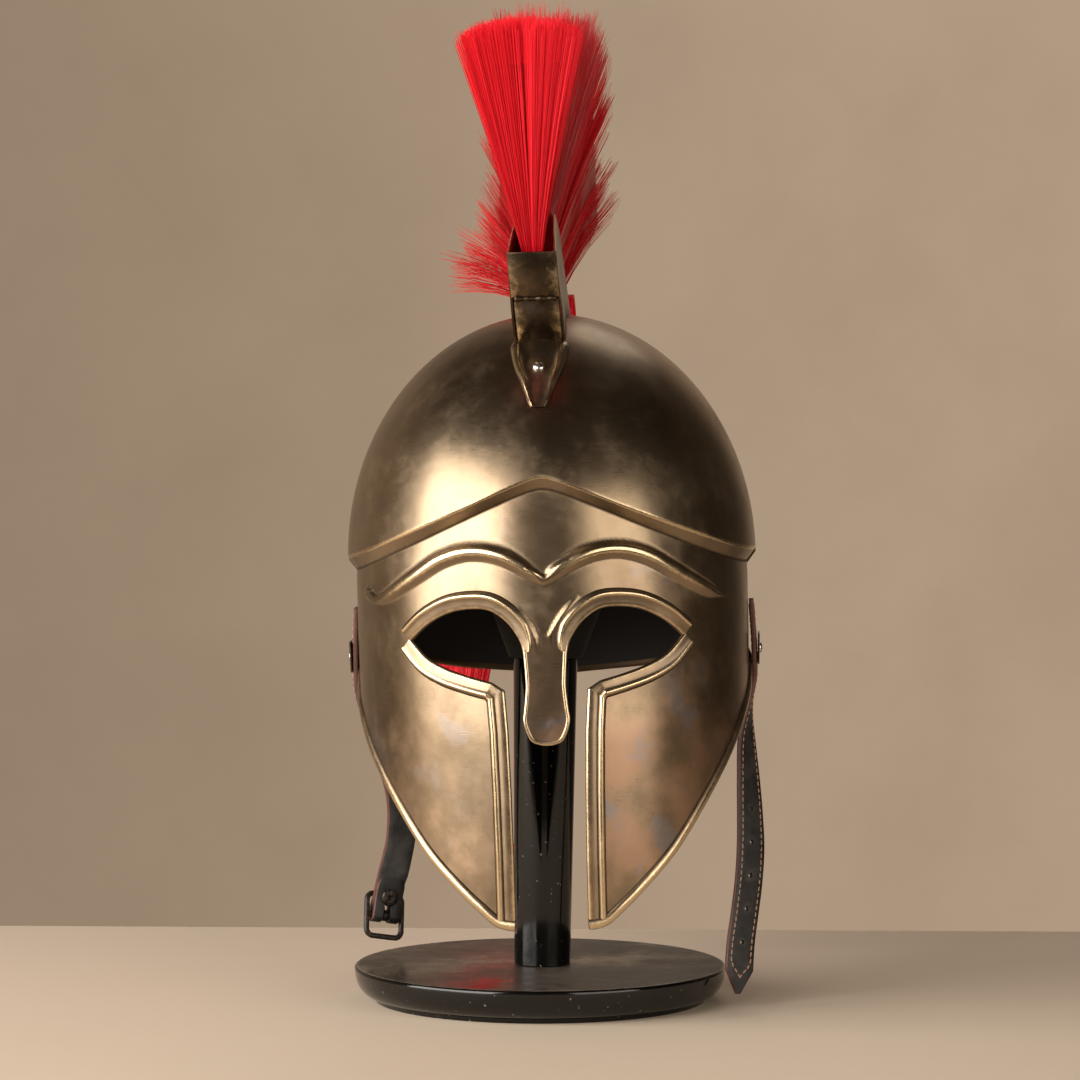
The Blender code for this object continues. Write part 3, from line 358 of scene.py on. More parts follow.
block = BLOCK_DIAMETER / 2
block_foot = post_top + CLEARANCE
block_profile = [(max(0.0002, block * math.sin(t)), PIVOT_LEVEL + block * math.cos(t))
                 for t in (math.pi / 2 * k / 14 for k in range(15))]
for along, share in ((0.15, 0.993), (0.3, 0.97), (0.48, 0.90), (0.65, 0.80), (0.82, 0.65), (0.94, 0.51),
                     (1.0, 0.44)):
    block_profile.append((block * share, PIVOT_LEVEL + (block_foot - PIVOT_LEVEL) * along))
block_profile.append((0.0002, block_foot))
fit("head_form", turned("head_form", block_profile, STAND_MATRIX, 64), block_paint, "black_wood",
    "head_block", sharp=40)


# The bowl: one sheet of bronze hammered and pressed over a form, with a chevron step round the
# brow, pressed eyebrows and flutes at the nose, and the eyes, nose guard and mouth cut through.
# It is brushed, then darkened, and rubbed bright again on what stands proud. The inside is black.

HELMET_LEAN = math.radians(-1.4)
HELMET_WIDTH = 0.222
DOME_FRONT = 0.130
DOME_REAR = 0.135
CHEVRON_RISE = 0.048
CHEVRON_ROUNDING = 0.005
STEP_DROP = 0.0065
CHEEK_DROP = 0.189
WALL_SQUARENESS = 2.15
HALF_WIDTH = HELMET_WIDTH / 2
HELMET_MATRIX = (Matrix.Translation(STAND_MATRIX @ Vector((0, 0, PIVOT_LEVEL)))
                 @ Matrix.Rotation(HELMET_LEAN, 4, "Y")
                 @ Matrix.Translation((0, 0, -PIVOT_RISE)))

# Level as a share of CHEEK_DROP above the ridge's sides, then the shares of the dome's half
# width, front depth and rear depth
WALL_SECTIONS = [
    (0.249, 0.874, 0.896, 0.900),
    (0.011, 0.950, 0.934, 0.956),
    (-0.148, 0.957, 0.950, 0.963),
    (-0.333, 0.954, 0.959, 0.993),
    (-0.492, 0.948, 0.961, 1.040),
    (-0.757, 0.928, 0.946, 1.060),
    (-1.021, 0.901, 0.915, 1.060),
]

# Degrees round from the front, level as a share of CHEEK_DROP
LOWER_EDGE = [
    (0, -1.000), (14, -0.992), (21, -0.943), (28.5, -0.881), (38, -0.797), (47, -0.704),
    (56, -0.616), (66, -0.529), (75, -0.455), (83, -0.405), (88, -0.365), (93, -0.322), (106, -0.302),
    (125, -0.318), (150, -0.365), (180, -0.397),
]


def follow(table, column):
    """Smooth curve through a table's column against its first column, for numbers or arrays."""
    keys, values = (np.array(c, float) for c in zip(*sorted((row[0], row[column]) for row in table)))
    before = np.maximum(np.arange(len(keys)) - 1, 0)
    after = np.minimum(np.arange(len(keys)) + 1, len(keys) - 1)
    slopes = (values[after] - values[before]) / (keys[after] - keys[before])

    def at(place):
        place = np.clip(place, keys[0], keys[-1])
        i = np.clip(np.searchsorted(keys, place, side="right") - 1, 0, len(keys) - 2)
        step = keys[i + 1] - keys[i]
        u = (place - keys[i]) / step
        return ((2 * u**3 - 3 * u**2 + 1) * values[i] + (u**3 - 2 * u**2 + u) * step * slopes[i]
                + (3 * u**2 - 2 * u**3) * values[i + 1] + (u**3 - u**2) * step * slopes[i + 1])
    return at


section_half, section_front, section_rear = (follow(WALL_SECTIONS, k) for k in (1, 2, 3))
edge_share = follow(LOWER_EDGE, 1)


def rounded_section(angle, half_width, front, rear, squareness):
    s, c = np.sin(angle), np.cos(angle)
    share = 2 / squareness
    depth = np.where(c > 0, front, rear)
    return half_width * np.sign(s) * np.abs(s) ** share, -depth * np.sign(c) * np.abs(c) ** share


def bare_wall(angle, level):
    z = level / CHEEK_DROP
    x, y = rounded_section(angle, HALF_WIDTH * section_half(z), DOME_FRONT * section_front(z),
                           DOME_REAR * section_rear(z), WALL_SQUARENESS)
    return np.stack([x, y, level + 0 * x], -1)


def wall(angle, level, proud=0.0):
    """Points of the face and neck wall, raised along its normal."""
    nudge = 0.01
    around = bare_wall(angle + nudge, level) - bare_wall(angle - nudge, level)
    upward = bare_wall(angle, level + nudge / 10) - bare_wall(angle, level - nudge / 10)
    normal = np.cross(around, upward)
    normal /= np.linalg.norm(normal, axis=-1, keepdims=True)
    return bare_wall(angle, level) + normal * np.asarray(proud)[..., None]


def wall_angle(x, level):
    share = np.minimum(1.0, np.abs(x) / (HALF_WIDTH * section_half(level / CHEEK_DROP)))
    return np.sign(x) * np.arcsin(share ** (WALL_SQUARENESS / 2))


def dome(angle, level, proud=0.0):
    share = np.sqrt(np.maximum(0.0, 1 - (level / DOME_HEIGHT) ** 2))
    x, y = rounded_section(angle, HALF_WIDTH * share, DOME_FRONT * share, DOME_REAR * share, 2)
    place = np.stack([x, y, level + 0 * x], -1)
    depth = np.where(np.cos(angle) > 0, DOME_FRONT, DOME_REAR)
    normal = place / np.stack([HALF_WIDTH**2 + 0 * x, depth**2 + 0 * x, DOME_HEIGHT**2 + 0 * x], -1)
    return place + normal / np.linalg.norm(normal, axis=-1, keepdims=True) * proud


def ridge_level(angle):
    """Level of the step round the brow: a chevron over the face, flat round the back."""
    level = 0.0 * angle
    for _ in range(12):
        side = np.hypot(dome(angle, level)[..., 0], CHEVRON_ROUNDING) - CHEVRON_ROUNDING
        level = np.where(np.cos(angle) > 0, CHEVRON_RISE * np.maximum(0.0, 1 - side / HALF_WIDTH), 0.0)
    return level


def lower_level(angle):
    return CHEEK_DROP * edge_share(np.abs(np.degrees(np.remainder(angle + np.pi, np.pi * 2) - np.pi)))


def smooth_path(points, steps):
    """Catmull-Rom path through points of any size, with the given steps between two of them."""
    points = [np.array(p, float) for p in points]
    path = []
    for i in range(len(points) - 1):
        a, b, c = points[max(i - 1, 0)], points[i], points[i + 1]
        d = points[min(i + 2, len(points) - 1)]
        for k in range(steps):
            u = k / steps
            path.append(0.5 * (2 * b + (c - a) * u + (2 * a - 5 * b + 4 * c - d) * u**2
                               + (3 * b - a - 3 * c + d) * u**3))
    path.append(points[-1])
    return np.array(path)


# Pressed lines on the face in millimetres, seen from the front and measured from the middle of
# the bowl: side, height and size. Signed distances are positive above a line.
BROW_LINE = [
    (-0.5, -6.5, 0.50), (4.5, -3.2, 0.70), (9.5, 0.2, 0.85), (19.5, 6.2, 1.0), (31.3, 9.2, 1.0),
    (43, 8.8, 1.0), (55, 4.6, 1.0), (66, -2.4, 0.95), (78, -10.6, 0.85), (86, -16.0, 0.7),
]
BROW_END_LEFT = [(91, -17.6, 0.62), (95, -15.6, 0.7), (96.2, -13.2, 0.62), (96.4, -11.8, 0.3)]
BROW_END_RIGHT = [(90, -18.2, 0.35), (94, -20.0, 0.08)]
BROW_PROFILE = [(-5.6, 0.0), (-4.3, 0.25), (-3.3, 1.3), (-1.6, 2.7), (0.2, 3.15), (2.0, 2.6),
                (3.4, 1.0), (4.1, -0.1), (4.7, -0.45), (5.4, -0.15), (6.4, 0.0)]
DASHES = [[(2.8, -0.7, 0.55), (7.5, 2.2, 0.8), (11.9, 5.0, 0.4)],
          [(-0.5, -3.6, 0.4), (-4.2, -1.8, 0.7), (-8.4, 0.6, 0.4)]]
FLUTES = [[(2.6, -35.0, 0.6), (7.2, -27.5, 1.0), (12.2, -20.8, 1.0), (17.4, -15.0, 0.4)],
          [(-4.6, -38.0, 0.7), (-7.2, -31.5, 1.1), (-10.9, -25.0, 0.8), (-14.5, -20.0, 0.3)]]
FLUTE_PROFILE = [(-3.4, 0.0), (-2.2, 0.25), (-0.8, 1.2), (0.4, 1.3), (1.6, 0.5), (2.3, -0.25),
                 (3.2, 0.0)]


def across_line(line, x, z):
    """Signed distance in millimetres from points to a line, and the line's size at that place."""
    path = smooth_path(line, 6)
    best = np.full(x.shape, 1e9)
    signed, size = np.zeros(x.shape), np.zeros(x.shape)
    for (ax, az, a_size), (bx, bz, b_size) in zip(path[:-1], path[1:]):
        way = np.array((bx - ax, bz - az))
        length = np.hypot(*way)
        along = np.clip(((x - ax) * way[0] + (z - az) * way[1]) / length**2, 0, 1)
        off_x, off_z = x - ax - way[0] * along, z - az - way[1] * along
        distance = np.hypot(off_x, off_z)
        nearer = distance < best
        best = np.where(nearer, distance, best)
        above = np.sign((way[0] * off_z - way[1] * off_x) * np.sign(way[0] or 1.0))
        signed = np.where(nearer, distance * above, signed)
        size = np.where(nearer, a_size + (b_size - a_size) * along, size)
    return signed, size


def pressed(line, profile, x, z):
    signed, size = across_line(line, x, z)
    fine = smooth_path(profile, 5)
    height = np.interp(signed / np.maximum(size, 0.05), fine[:, 0], fine[:, 1], 0.0, 0.0)
    return height * size


def face_relief(place):
    """How far the pressed work stands out at points of the front, in millimetres."""
    x, z = place[..., 0] * 1000, place[..., 2] * 1000
    brow_right = pressed(BROW_LINE + BROW_END_RIGHT, BROW_PROFILE, x, z)
    brow_left = pressed(BROW_LINE + BROW_END_LEFT, BROW_PROFILE, -x, z)
    raised = np.where(x > 0, brow_right, brow_left)
    for line in DASHES + FLUTES:
        ordered = line if line[0][0] < line[-1][0] else line[::-1]
        profile = FLUTE_PROFILE if line in FLUTES else [(d * 0.55, h * 0.5) for d, h in BROW_PROFILE]
        raised = raised + pressed(ordered, profile, x, z)
    return np.where(place[..., 1] < -0.005, raised, 0.0)


front_angles = np.radians(np.linspace(-98, 98, 380))
rear_angles = np.radians(np.linspace(98, 262, 84)[1:-1])
angles = np.concatenate([front_angles, rear_angles])
ridge, low = ridge_level(angles), lower_level(angles)
outer_rings, worn_rings, painted_shade_rings = [], [], []


# Each ring keeps its wear and its painted shade.
def keep_ring(points, worn, shade):
    outer_rings.append(points)
    worn_rings.append(np.broadcast_to(worn, angles.shape))
    painted_shade_rings.append(np.broadcast_to(shade, angles.shape))


lowest_rise = np.arcsin(ridge / DOME_HEIGHT)
for share in [0.9985, *np.linspace(0.975, 0.03, 40), 0.012]:
    level = DOME_HEIGHT * np.sin(lowest_rise + (np.pi / 2 - lowest_rise) * share)
    keep_ring(dome(angles, level), 0.0, 0.0)
step_top, step_foot = dome(angles, ridge), wall(angles, ridge - STEP_DROP)
# The step's face is painted darker towards its foot, as shade where it looks down, and darkest in the crease at its
# foot.
for share, worn, shade in ((0.0, 1.0, 0.0), (0.07, 0.7, 0.0), (0.2, 0.0, 0.1), (0.8, 0.0, 0.2),
                           (0.93, 0.0, 0.6), (1.0, 0.0, 1.0)):
    keep_ring(step_top + (step_foot - step_top) * share, worn, shade)
FACE_LEVEL = -0.036
face_top = ridge - STEP_DROP - 0.0006
# On the face, the grooves beside the pressed lines and the crease under the step are painted dark as shade, here and in
# the rings below.
for share in np.linspace(0, 1, 70):
    level = face_top + (FACE_LEVEL - face_top) * share
    raised = face_relief(bare_wall(angles, level))
    crease_shade = np.clip(-raised * 2.2, 0, 1) + (0.7 if share == 0 else 0)
    keep_ring(wall(angles, level, raised / 1000), np.clip((raised - 1.6) / 1.4, 0, 1) * 0.8, crease_shade)
for share in np.linspace(0, 1, 44)[1:]:
    level = FACE_LEVEL + (low - FACE_LEVEL) * share
    raised = face_relief(bare_wall(angles, level))
    keep_ring(wall(angles, level, raised / 1000), 0.0, np.clip(-raised * 2.2, 0, 1))
outer_count = len(outer_rings)
for share in np.linspace(0, 1, 26)[::-1]:
    keep_ring(wall(angles, face_top + (low - face_top) * share, -SHEET), 0.0, 0.0)
for share in (0.0, 0.04, *np.linspace(0.1, 0.97, 16), 0.9985):
    level = DOME_HEIGHT * np.sin(lowest_rise + (np.pi / 2 - lowest_rise) * share)
    keep_ring(dome(angles, level, -SHEET), 0.0, 0.0)

bowl_mesh = through_rings("bronze_bowl", outer_rings, HELMET_MATRIX)

# Eye lids: share of the eye's width from the nose, share of its rise or fall from its outer corner
EYE_WIDTH = 0.0615
EYE_CORNER_DROP = 0.0374
EYE_RISE = 0.018
EYE_FALL = 0.026
NOSE_WIDTH = 0.022
NOSE_LENGTH = 0.0482
MOUTH_GAP = 0.040
CHEEK_TIP_ROUNDING = 0.0045
UPPER_LID = [
    (1.0, 0.0), (0.846, 0.50), (0.642, 0.88), (0.436, 1.0), (0.275, 0.93), (0.127, 0.57),
    (0.033, 0.09), (0.0, -0.32),
]
LOWER_LID = [
    (0.189, -1.0), (0.289, -0.85), (0.50, -0.72), (0.694, -0.57), (0.859, -0.36), (1.0, 0.0),
]
NOSE_SIDE = [(0.91, 0.35), (1.0, 0.60), (1.06, 0.76), (0.76, 0.94), (0.36, 0.99), (0.0, 1.0)]
CHEEK_SIDE = [(1.0, 0.96), (1.0, 0.70), (1.02, 0.42), (1.06, 0.17)]

upper_lid = np.array([(NOSE_WIDTH / 2 + s * EYE_WIDTH, -EYE_CORNER_DROP + up * EYE_RISE)
                      for s, up in UPPER_LID])
lower_lid = np.array([(NOSE_WIDTH / 2 + s * EYE_WIDTH, -EYE_CORNER_DROP + up * EYE_FALL)
                      for s, up in LOWER_LID])
eye_foot = -EYE_CORNER_DROP - EYE_FALL
cheek_side = np.array([(s * MOUTH_GAP / 2, eye_foot + down * (-CHEEK_DROP - eye_foot))
                       for s, down in CHEEK_SIDE])
nose_side = np.array([(s * NOSE_WIDTH / 2, upper_lid[-1][1] - down * NOSE_LENGTH)
                      for s, down in NOSE_SIDE])
smooth_lower_lid = smooth_path(lower_lid, 5)
smooth_upper_lid = smooth_path(upper_lid, 5)
smooth_nose = smooth_path([upper_lid[-1], *nose_side], 5)[1:]
gap_flare = MOUTH_GAP / 2 + CHEEK_TIP_ROUNDING
opening = [(gap_flare, -CHEEK_DROP * 1.1), (gap_flare, -CHEEK_DROP), *cheek_side, *smooth_lower_lid[:-1],
           *smooth_upper_lid, *smooth_nose]
opening += [(-x, z) for x, z in opening[-2::-1]]
cutter_mesh = through_rings("face_cutter", [[(x, y, z) for x, z in opening]
                                            for y in (-DOME_FRONT * 1.2, -DOME_FRONT * 0.2)], HELMET_MATRIX)


def cut_by(mesh, cutter):
    """A closed mesh less another, as a new mesh."""
    piece = bpy.data.objects.new("cut", mesh)
    knife = bpy.data.objects.new("knife", cutter)
    for obj in (piece, knife):
        bpy.context.scene.collection.objects.link(obj)
    step = piece.modifiers.new("cut", "BOOLEAN")
    step.operation = "DIFFERENCE"
    step.solver = "MANIFOLD"
    step.object = knife
    graph = bpy.context.evaluated_depsgraph_get()
    result = bpy.data.meshes.new_from_object(piece.evaluated_get(graph))
    result.name = mesh.name
    for obj in (piece, knife):
        bpy.data.objects.remove(obj, do_unlink=True)
    return result


def carry(mesh, name, values):
    """Gives each of a mesh's points a number that a finish can read."""
    layer = mesh.attributes.new(name, "FLOAT", "POINT")
    layer.data.foreach_set("value", np.asarray(values, np.float32).ravel())


def bronze(name, dark=1.0, copper=1.0, grain=(1, 1, 16), rough=0.30, depth=1.0):
    """Brushed bronze, darkened in patches, coppery and blue-grey in others, bright where worn, with painted shade where
    its pieces carry it.
    """
    metal = Finish(name)
    patch = metal.noise(7.5, 4, 0.6, warp=0.6)
    mottle = metal.noise(38.0, 6, 0.66)
    fine = metal.noise(260.0, 3, 0.6)
    brushed = metal.noise(150.0, 3, 0.65, grain)
    streak = metal.noise(34.0, 4, 0.6, (1, 1, 0.22))
    worn = metal.painted("worn")
    shade = metal.painted("shade")
    warm = metal.painted("copper")
    colour = metal.mixed(metal.limited(patch * 0.6 + mottle * 0.4, 0.32, 0.62),
                         tuple(c * depth for c in (0.200, 0.144, 0.091)),
                         tuple(c * depth for c in (0.345, 0.260, 0.170)))
    colour = metal.mixed(metal.limited(streak * 0.5 + mottle * 0.5, 0.50, 0.72) * 0.45 * dark, colour,
                         (0.085, 0.056, 0.033))
    hot = metal.limited(mottle * 0.45 + patch * 0.55, 0.42, 0.60) * warm * copper
    colour = metal.mixed(hot * 0.7, colour, (0.46, 0.275, 0.180))
    cold = metal.limited(metal.noise(26.0, 4, 0.6, warp=1.0), 0.54, 0.66) * warm * copper
    colour = metal.mixed(cold * 0.55, colour, (0.27, 0.27, 0.30))
    # Painted shade: darker, and a little rougher, where a piece's shade number is high, in its creases, recesses and
    # faces that look down.
    colour = metal.mixed(metal.limited(shade + (fine - 0.5) * 0.5, 0.1, 0.9) * 0.85, colour,
                         (0.045, 0.028, 0.016))
    rub = metal.limited(worn + (fine - 0.5) * 0.7, 0.25, 0.8)
    colour = metal.mixed(rub * 0.8, colour, (0.78, 0.60, 0.37))
    tarnish = metal.limited(mottle, 0.45, 0.75)
    metal.relief(brushed * 0.35 + mottle * 1.2 + patch * 4.0, 0.22, 0.00035)
    return metal.dress(base_color=colour, metallic=1.0,
                       roughness=rough + brushed * 0.10 + tarnish * 0.12 + shade * 0.25 - rub * 0.06)


bowl_bronze = bronze("bronze_of_the_bowl", rough=0.24)
# The inside of the bowl is coloured near-black.
inside_black = Finish("near_black_inside")
inside_black.dress(base_color=(0.0015, 0.0014, 0.0013), roughness=0.75)

worn_all = np.concatenate(worn_rings)
painted_shade_all = np.concatenate(painted_shade_rings)
flat_points = np.concatenate(outer_rings) * 1000
side, level = flat_points[:, 0], flat_points[:, 2]
front = flat_points[:, 1] < 0


def bump_at(centre, size):
    return np.exp(-((side - centre[0]) / size[0])**2 - ((level - centre[1]) / size[1])**2)


copper_all = (np.clip((-level - 45) / 30, 0, 1) * np.where(side > 0, 1.0, 0.45)
              + bump_at((0, -66), (12, 26)) * 0.9 + bump_at((-19, 26), (10, 12)) * 0.9
              + bump_at((50, -8), (22, 12)) * 0.5) * front
carry(bowl_mesh, "worn", worn_all)
carry(bowl_mesh, "shade", painted_shade_all)
carry(bowl_mesh, "copper", np.clip(copper_all, 0, 1))
inner_point = np.zeros(len(flat_points), bool)
inner_point[outer_count * len(angles):] = True
ends = np.zeros(len(bowl_mesh.loops), np.int32)
bowl_mesh.loops.foreach_get("vertex_index", ends)
starts = np.zeros(len(bowl_mesh.polygons), np.int32)
bowl_mesh.polygons.foreach_get("loop_start", starts)
bowl_mesh.polygons.foreach_set("material_index", inner_point[ends[starts + 1]].astype(np.int32))
bowl_mesh.materials.append(bowl_bronze.material)
bowl_mesh.materials.append(inside_black.material)
bowl_mesh = cut_by(bowl_mesh, cutter_mesh)
fit("bronze_bowl", bowl_mesh, None, "bronze", "helmet_shell")

# The borders: strips of the same bronze folded over the cut edges of the eyes and down the cheeks,
# soldered on. Each has a sloping band at the opening, a rubbed ridge, and a crease outside painted
# dark as shade. They are mitred at the eyes' outer corners and at the cheeks' upper corners.

# Distance from the cut edge and height over the wall, in millimetres, then wear and shade
# The shade is painted shade, darkest in the grooves, in the crease outside and where the strip turns in under the edge.
EYE_FOLD = [(0.9, -2.3, 0, 1), (-0.7, -2.0, 0, 0.8), (-1.0, -0.9, 0, 0.3), (-0.6, 0.25, 0.7, 0),
            (0.2, 0.62, 0.5, 0), (1.6, 0.85, 0, 0), (3.4, 1.15, 0, 0.2), (4.5, 1.55, 0.2, 0), (5.3, 2.15, 0.9, 0),
            (6.0, 2.35, 1, 0), (6.8, 2.0, 0.5, 0), (7.8, 0.9, 0, 0.4), (8.6, 0.15, 0, 1), (9.1, -0.3, 0, 1),
            (7.5, -0.9, 0, 1)]
CHEEK_FOLD = [(0.9, -2.3, 0, 1), (-0.7, -2.0, 0, 0.8), (-1.0, -0.9, 0, 0.3), (-0.6, 0.35, 0.8, 0),
              (0.3, 0.75, 0.6, 0), (2.6, 0.85, 0, 0.1), (4.4, 0.75, 0, 0.2), (4.9, 0.35, 0, 1), (5.3, 0.75, 0, 0.7),
              (6.1, 1.75, 0.8, 0), (7.0, 2.05, 1, 0), (7.9, 1.7, 0.6, 0), (8.9, 0.5, 0, 0.5), (9.5, -0.2, 0, 1),
              (7.5, -0.9, 0, 1)]
NOSE_FOLD = [(0.6, -2.1, 0, 1), (-0.5, -1.9, 0, 0.6), (-0.65, -0.8, 0.3, 0.2), (-0.4, 0.1, 1, 0),
             (0.2, 0.42, 1, 0), (0.9, 0.45, 0.9, 0), (1.5, 0.2, 0.1, 0.2), (1.8, -0.25, 0, 0.8), (1.4, -0.8, 0, 1)]


def onto_wall(points, proud):
    """Moves points to a height over the wall."""
    z = points[..., 2] / CHEEK_DROP
    depth = np.where(points[..., 1] < 0, DOME_FRONT * section_front(z), DOME_REAR * section_rear(z))
    power = WALL_SQUARENESS / 2
    s = np.sign(points[..., 0]) * np.abs(points[..., 0] / (HALF_WIDTH * section_half(z))) ** power
    c = np.sign(-points[..., 1]) * np.abs(points[..., 1] / depth) ** power
    return wall(np.arctan2(s, c), points[..., 2], proud)


def across_path(path, hand):
    """Direction along the wall and away from the edge at each point of a path, mitred."""
    normal = onto_wall(path, np.full(len(path), 0.001)) - onto_wall(path, np.zeros(len(path)))
    normal /= np.linalg.norm(normal, axis=1, keepdims=True)
    legs = np.diff(path, axis=0)
    legs /= np.linalg.norm(legs, axis=1, keepdims=True)
    before, after = np.vstack([legs[:1], legs]), np.vstack([legs, legs[-1:]])
    along = before + after
    along /= np.linalg.norm(along, axis=1, keepdims=True)
    half_turn = np.clip(np.einsum("ij,ij->i", along, after), 0.62, 1.0)
    return np.cross(normal, along) * hand / half_turn[:, None]


def folded_strip(path, folds, hand, steps=1):
    """Strip along a path on the wall, whose folds are given for each point, with wear and shade."""
    path = np.asarray(path)
    across = across_path(path, hand)
    folds = np.asarray(folds, float)
    rings = path[:, None] + across[:, None] * folds[:, :, :1] / 1000
    fine, heights, marks = [], [], []
    for i in range(len(rings) - 1):
        for k in range(steps):
            u = k / steps
            fine.append(rings[i] * (1 - u) + rings[i + 1] * u)
            mixed = folds[i] * (1 - u) + folds[i + 1] * u
            heights.append(mixed[:, 1])
            marks.append(mixed[:, 2:])
    fine.append(rings[-1])
    heights.append(folds[-1][:, 1])
    marks.append(folds[-1][:, 2:])
    points = onto_wall(np.array(fine), np.array(heights) / 1000)
    return points, np.array(marks)


def bronze_strip(name, strips, finish, copper=0.2, matrix=HELMET_MATRIX, stand_for=()):
    """One piece from one or more strips, each with its ends filled."""
    meshes = []
    for points, marks in strips:
        mesh = through_rings(name, points, matrix)
        flat = marks.reshape(-1, 2)
        carry(mesh, "worn", flat[:, 0])
        carry(mesh, "shade", flat[:, 1])
        carry(mesh, "copper", np.full(len(flat), copper))
        meshes.append(mesh)
    whole = merged(name, meshes)
    return fit(name, whole, finish, "bronze", *stand_for, sharp=70)


def merged(name, meshes):
    """One mesh of several, with what they carry."""
    objects = [bpy.data.objects.new(name, mesh) for mesh in meshes]
    for obj in objects:
        bpy.context.scene.collection.objects.link(obj)
    with bpy.context.temp_override(active_object=objects[0], selected_editable_objects=objects):
        bpy.ops.object.join()
    mesh = objects[0].data
    bpy.data.objects.remove(objects[0], do_unlink=True)
    return mesh


def lift(path, side):
    """Points on the wall over a drawing of side and level, mirrored to the left where side is -1."""
    return wall(side * wall_angle(path[:, 0], path[:, 1]), path[:, 1])


def sized(fold, across, height):
    return [(a * across, h * height if h > 0 else h, worn, shade) for a, h, worn, shade in fold]


border_bronze = bronze("bronze_of_the_borders", dark=0.8, grain=(1, 1, 4), rough=0.24)
for side_sign, word in ((1, "right"), (-1, "left")):
    lids = smooth_path(upper_lid, 8)
    share = np.linspace(0, 1, len(lids))
    size = 1 - np.clip((share - 0.80) / 0.20, 0, 1) * 0.55
    upper = folded_strip(lift(lids, side_sign), [sized(EYE_FOLD, w, w) for w in size], -side_sign)
    corner = np.vstack([smooth_path(lower_lid[1:], 6)[::-1], lower_lid[:1], cheek_side[::-1]])
    folds = [EYE_FOLD] * (len(corner) - 1 - len(cheek_side)) + [CHEEK_FOLD] * (len(cheek_side) + 1)
    lower = folded_strip(lift(corner, side_sign), folds, side_sign, 6)
    bronze_strip(f"face_border_{word}", [upper, lower], border_bronze)
nose = np.vstack([smooth_path(upper_lid, 5)[-4:], smooth_nose])
nose_path = np.vstack([lift(nose, 1), lift(nose[:-1][::-1], -1)])
bronze_strip("nose_border", [folded_strip(nose_path, [NOSE_FOLD] * len(nose_path), -1)], border_bronze, 0.5)


# The rolled rim: the sheet's lower edge turned out and over, all the way round from one cheek's
# tip to the other's, and hammered smooth. It is rubbed bright on the outside.

# Its last column is painted shade, darkest in the crease outside the roll and where it turns in under the edge.
RIM_FOLD = [(0.9, -2.2, 0, 1), (-0.6, -1.9, 0, 0.6), (-1.0, -0.9, 0.2, 0.2), (-0.9, 0.3, 0.8, 0), (-0.3, 1.25, 1, 0),
            (0.8, 1.75, 1, 0), (2.2, 1.85, 0.8, 0), (3.5, 1.55, 0.4, 0), (4.4, 0.9, 0, 0.4), (4.9, 0.1, 0, 1),
            (5.2, -0.3, 0, 1), (4.2, -0.9, 0, 1)]
first_angle = float(wall_angle(np.array(MOUTH_GAP / 2 - 0.0006), -CHEEK_DROP))
rim_angles = np.concatenate([np.linspace(first_angle, 1.7, 90), np.linspace(1.7, 2 * np.pi - 1.7, 60)[1:-1],
                             np.linspace(2 * np.pi - 1.7, 2 * np.pi - first_angle, 90)])
rim_path = wall(rim_angles, lower_level(rim_angles))
bronze_strip("rolled_rim", [folded_strip(rim_path, [RIM_FOLD] * len(rim_path), 1)], border_bronze)


# The crest holder: two side sheets that stand on the crown in a crescent, closed by end plates and
# pinched in the middle, to hold the hair. The front plate is in two pieces with a lumpy weld
# between them. A leaf-shaped foot with folded edges is riveted to the bowl at each end.

HOLDER_FRONT = math.radians(-27)
HOLDER_REAR = math.radians(50)
HOLDER_RADIUS = 0.1855
HOLDER_WIDTH = 0.027
HOLDER_SHEET = 0.0012
HOLDER_SEAM = 0.1590
TAB_ANGLE = math.radians(24.5)
TAB_WIDTH = 0.031
HOLDER_RIVET_DIAMETER = 0.007
HOLDER_MOUTH = [(0.0, 0.955), (0.2, 0.80), (0.4, 0.72), (0.7, 0.76), (1.0, 0.90)]
TAB_LEAF = [(0.0, 0.86), (0.12, 1.0), (0.30, 0.95), (0.5, 0.82), (0.7, 0.61), (0.85, 0.45), (0.95, 0.36),
            (1.0, 0.27)]
mouth_share = follow(HOLDER_MOUTH, 1)
leaf_share = follow(TAB_LEAF, 1)


def crown(angle, radius, x):
    """Point over the crown, from an angle about the bowl's middle, a radius and a side. It leans left."""
    lean = 0.0010 + 0.0026 * min(1.0, max(0.0, (radius - 0.125) / 0.055))
    return np.array((x - lean, radius * math.sin(angle), radius * math.cos(angle)))


def dome_radius(angle, x):
    depth = DOME_FRONT if angle < 0 else DOME_REAR
    share = 1 - (x / HALF_WIDTH) ** 2
    return math.sqrt(share / ((math.sin(angle) / depth) ** 2 + (math.cos(angle) / DOME_HEIGHT) ** 2))


def marked(name, rings, marks, matrix=HELMET_MATRIX):
    """Body through rings, with wear, shade and copper given for each point of a ring."""
    mesh = through_rings(name, rings, matrix)
    flat = np.array(marks, float).reshape(-1, 3)
    for column, word in enumerate(("worn", "shade", "copper")):
        carry(mesh, word, flat[:, column])
    return mesh


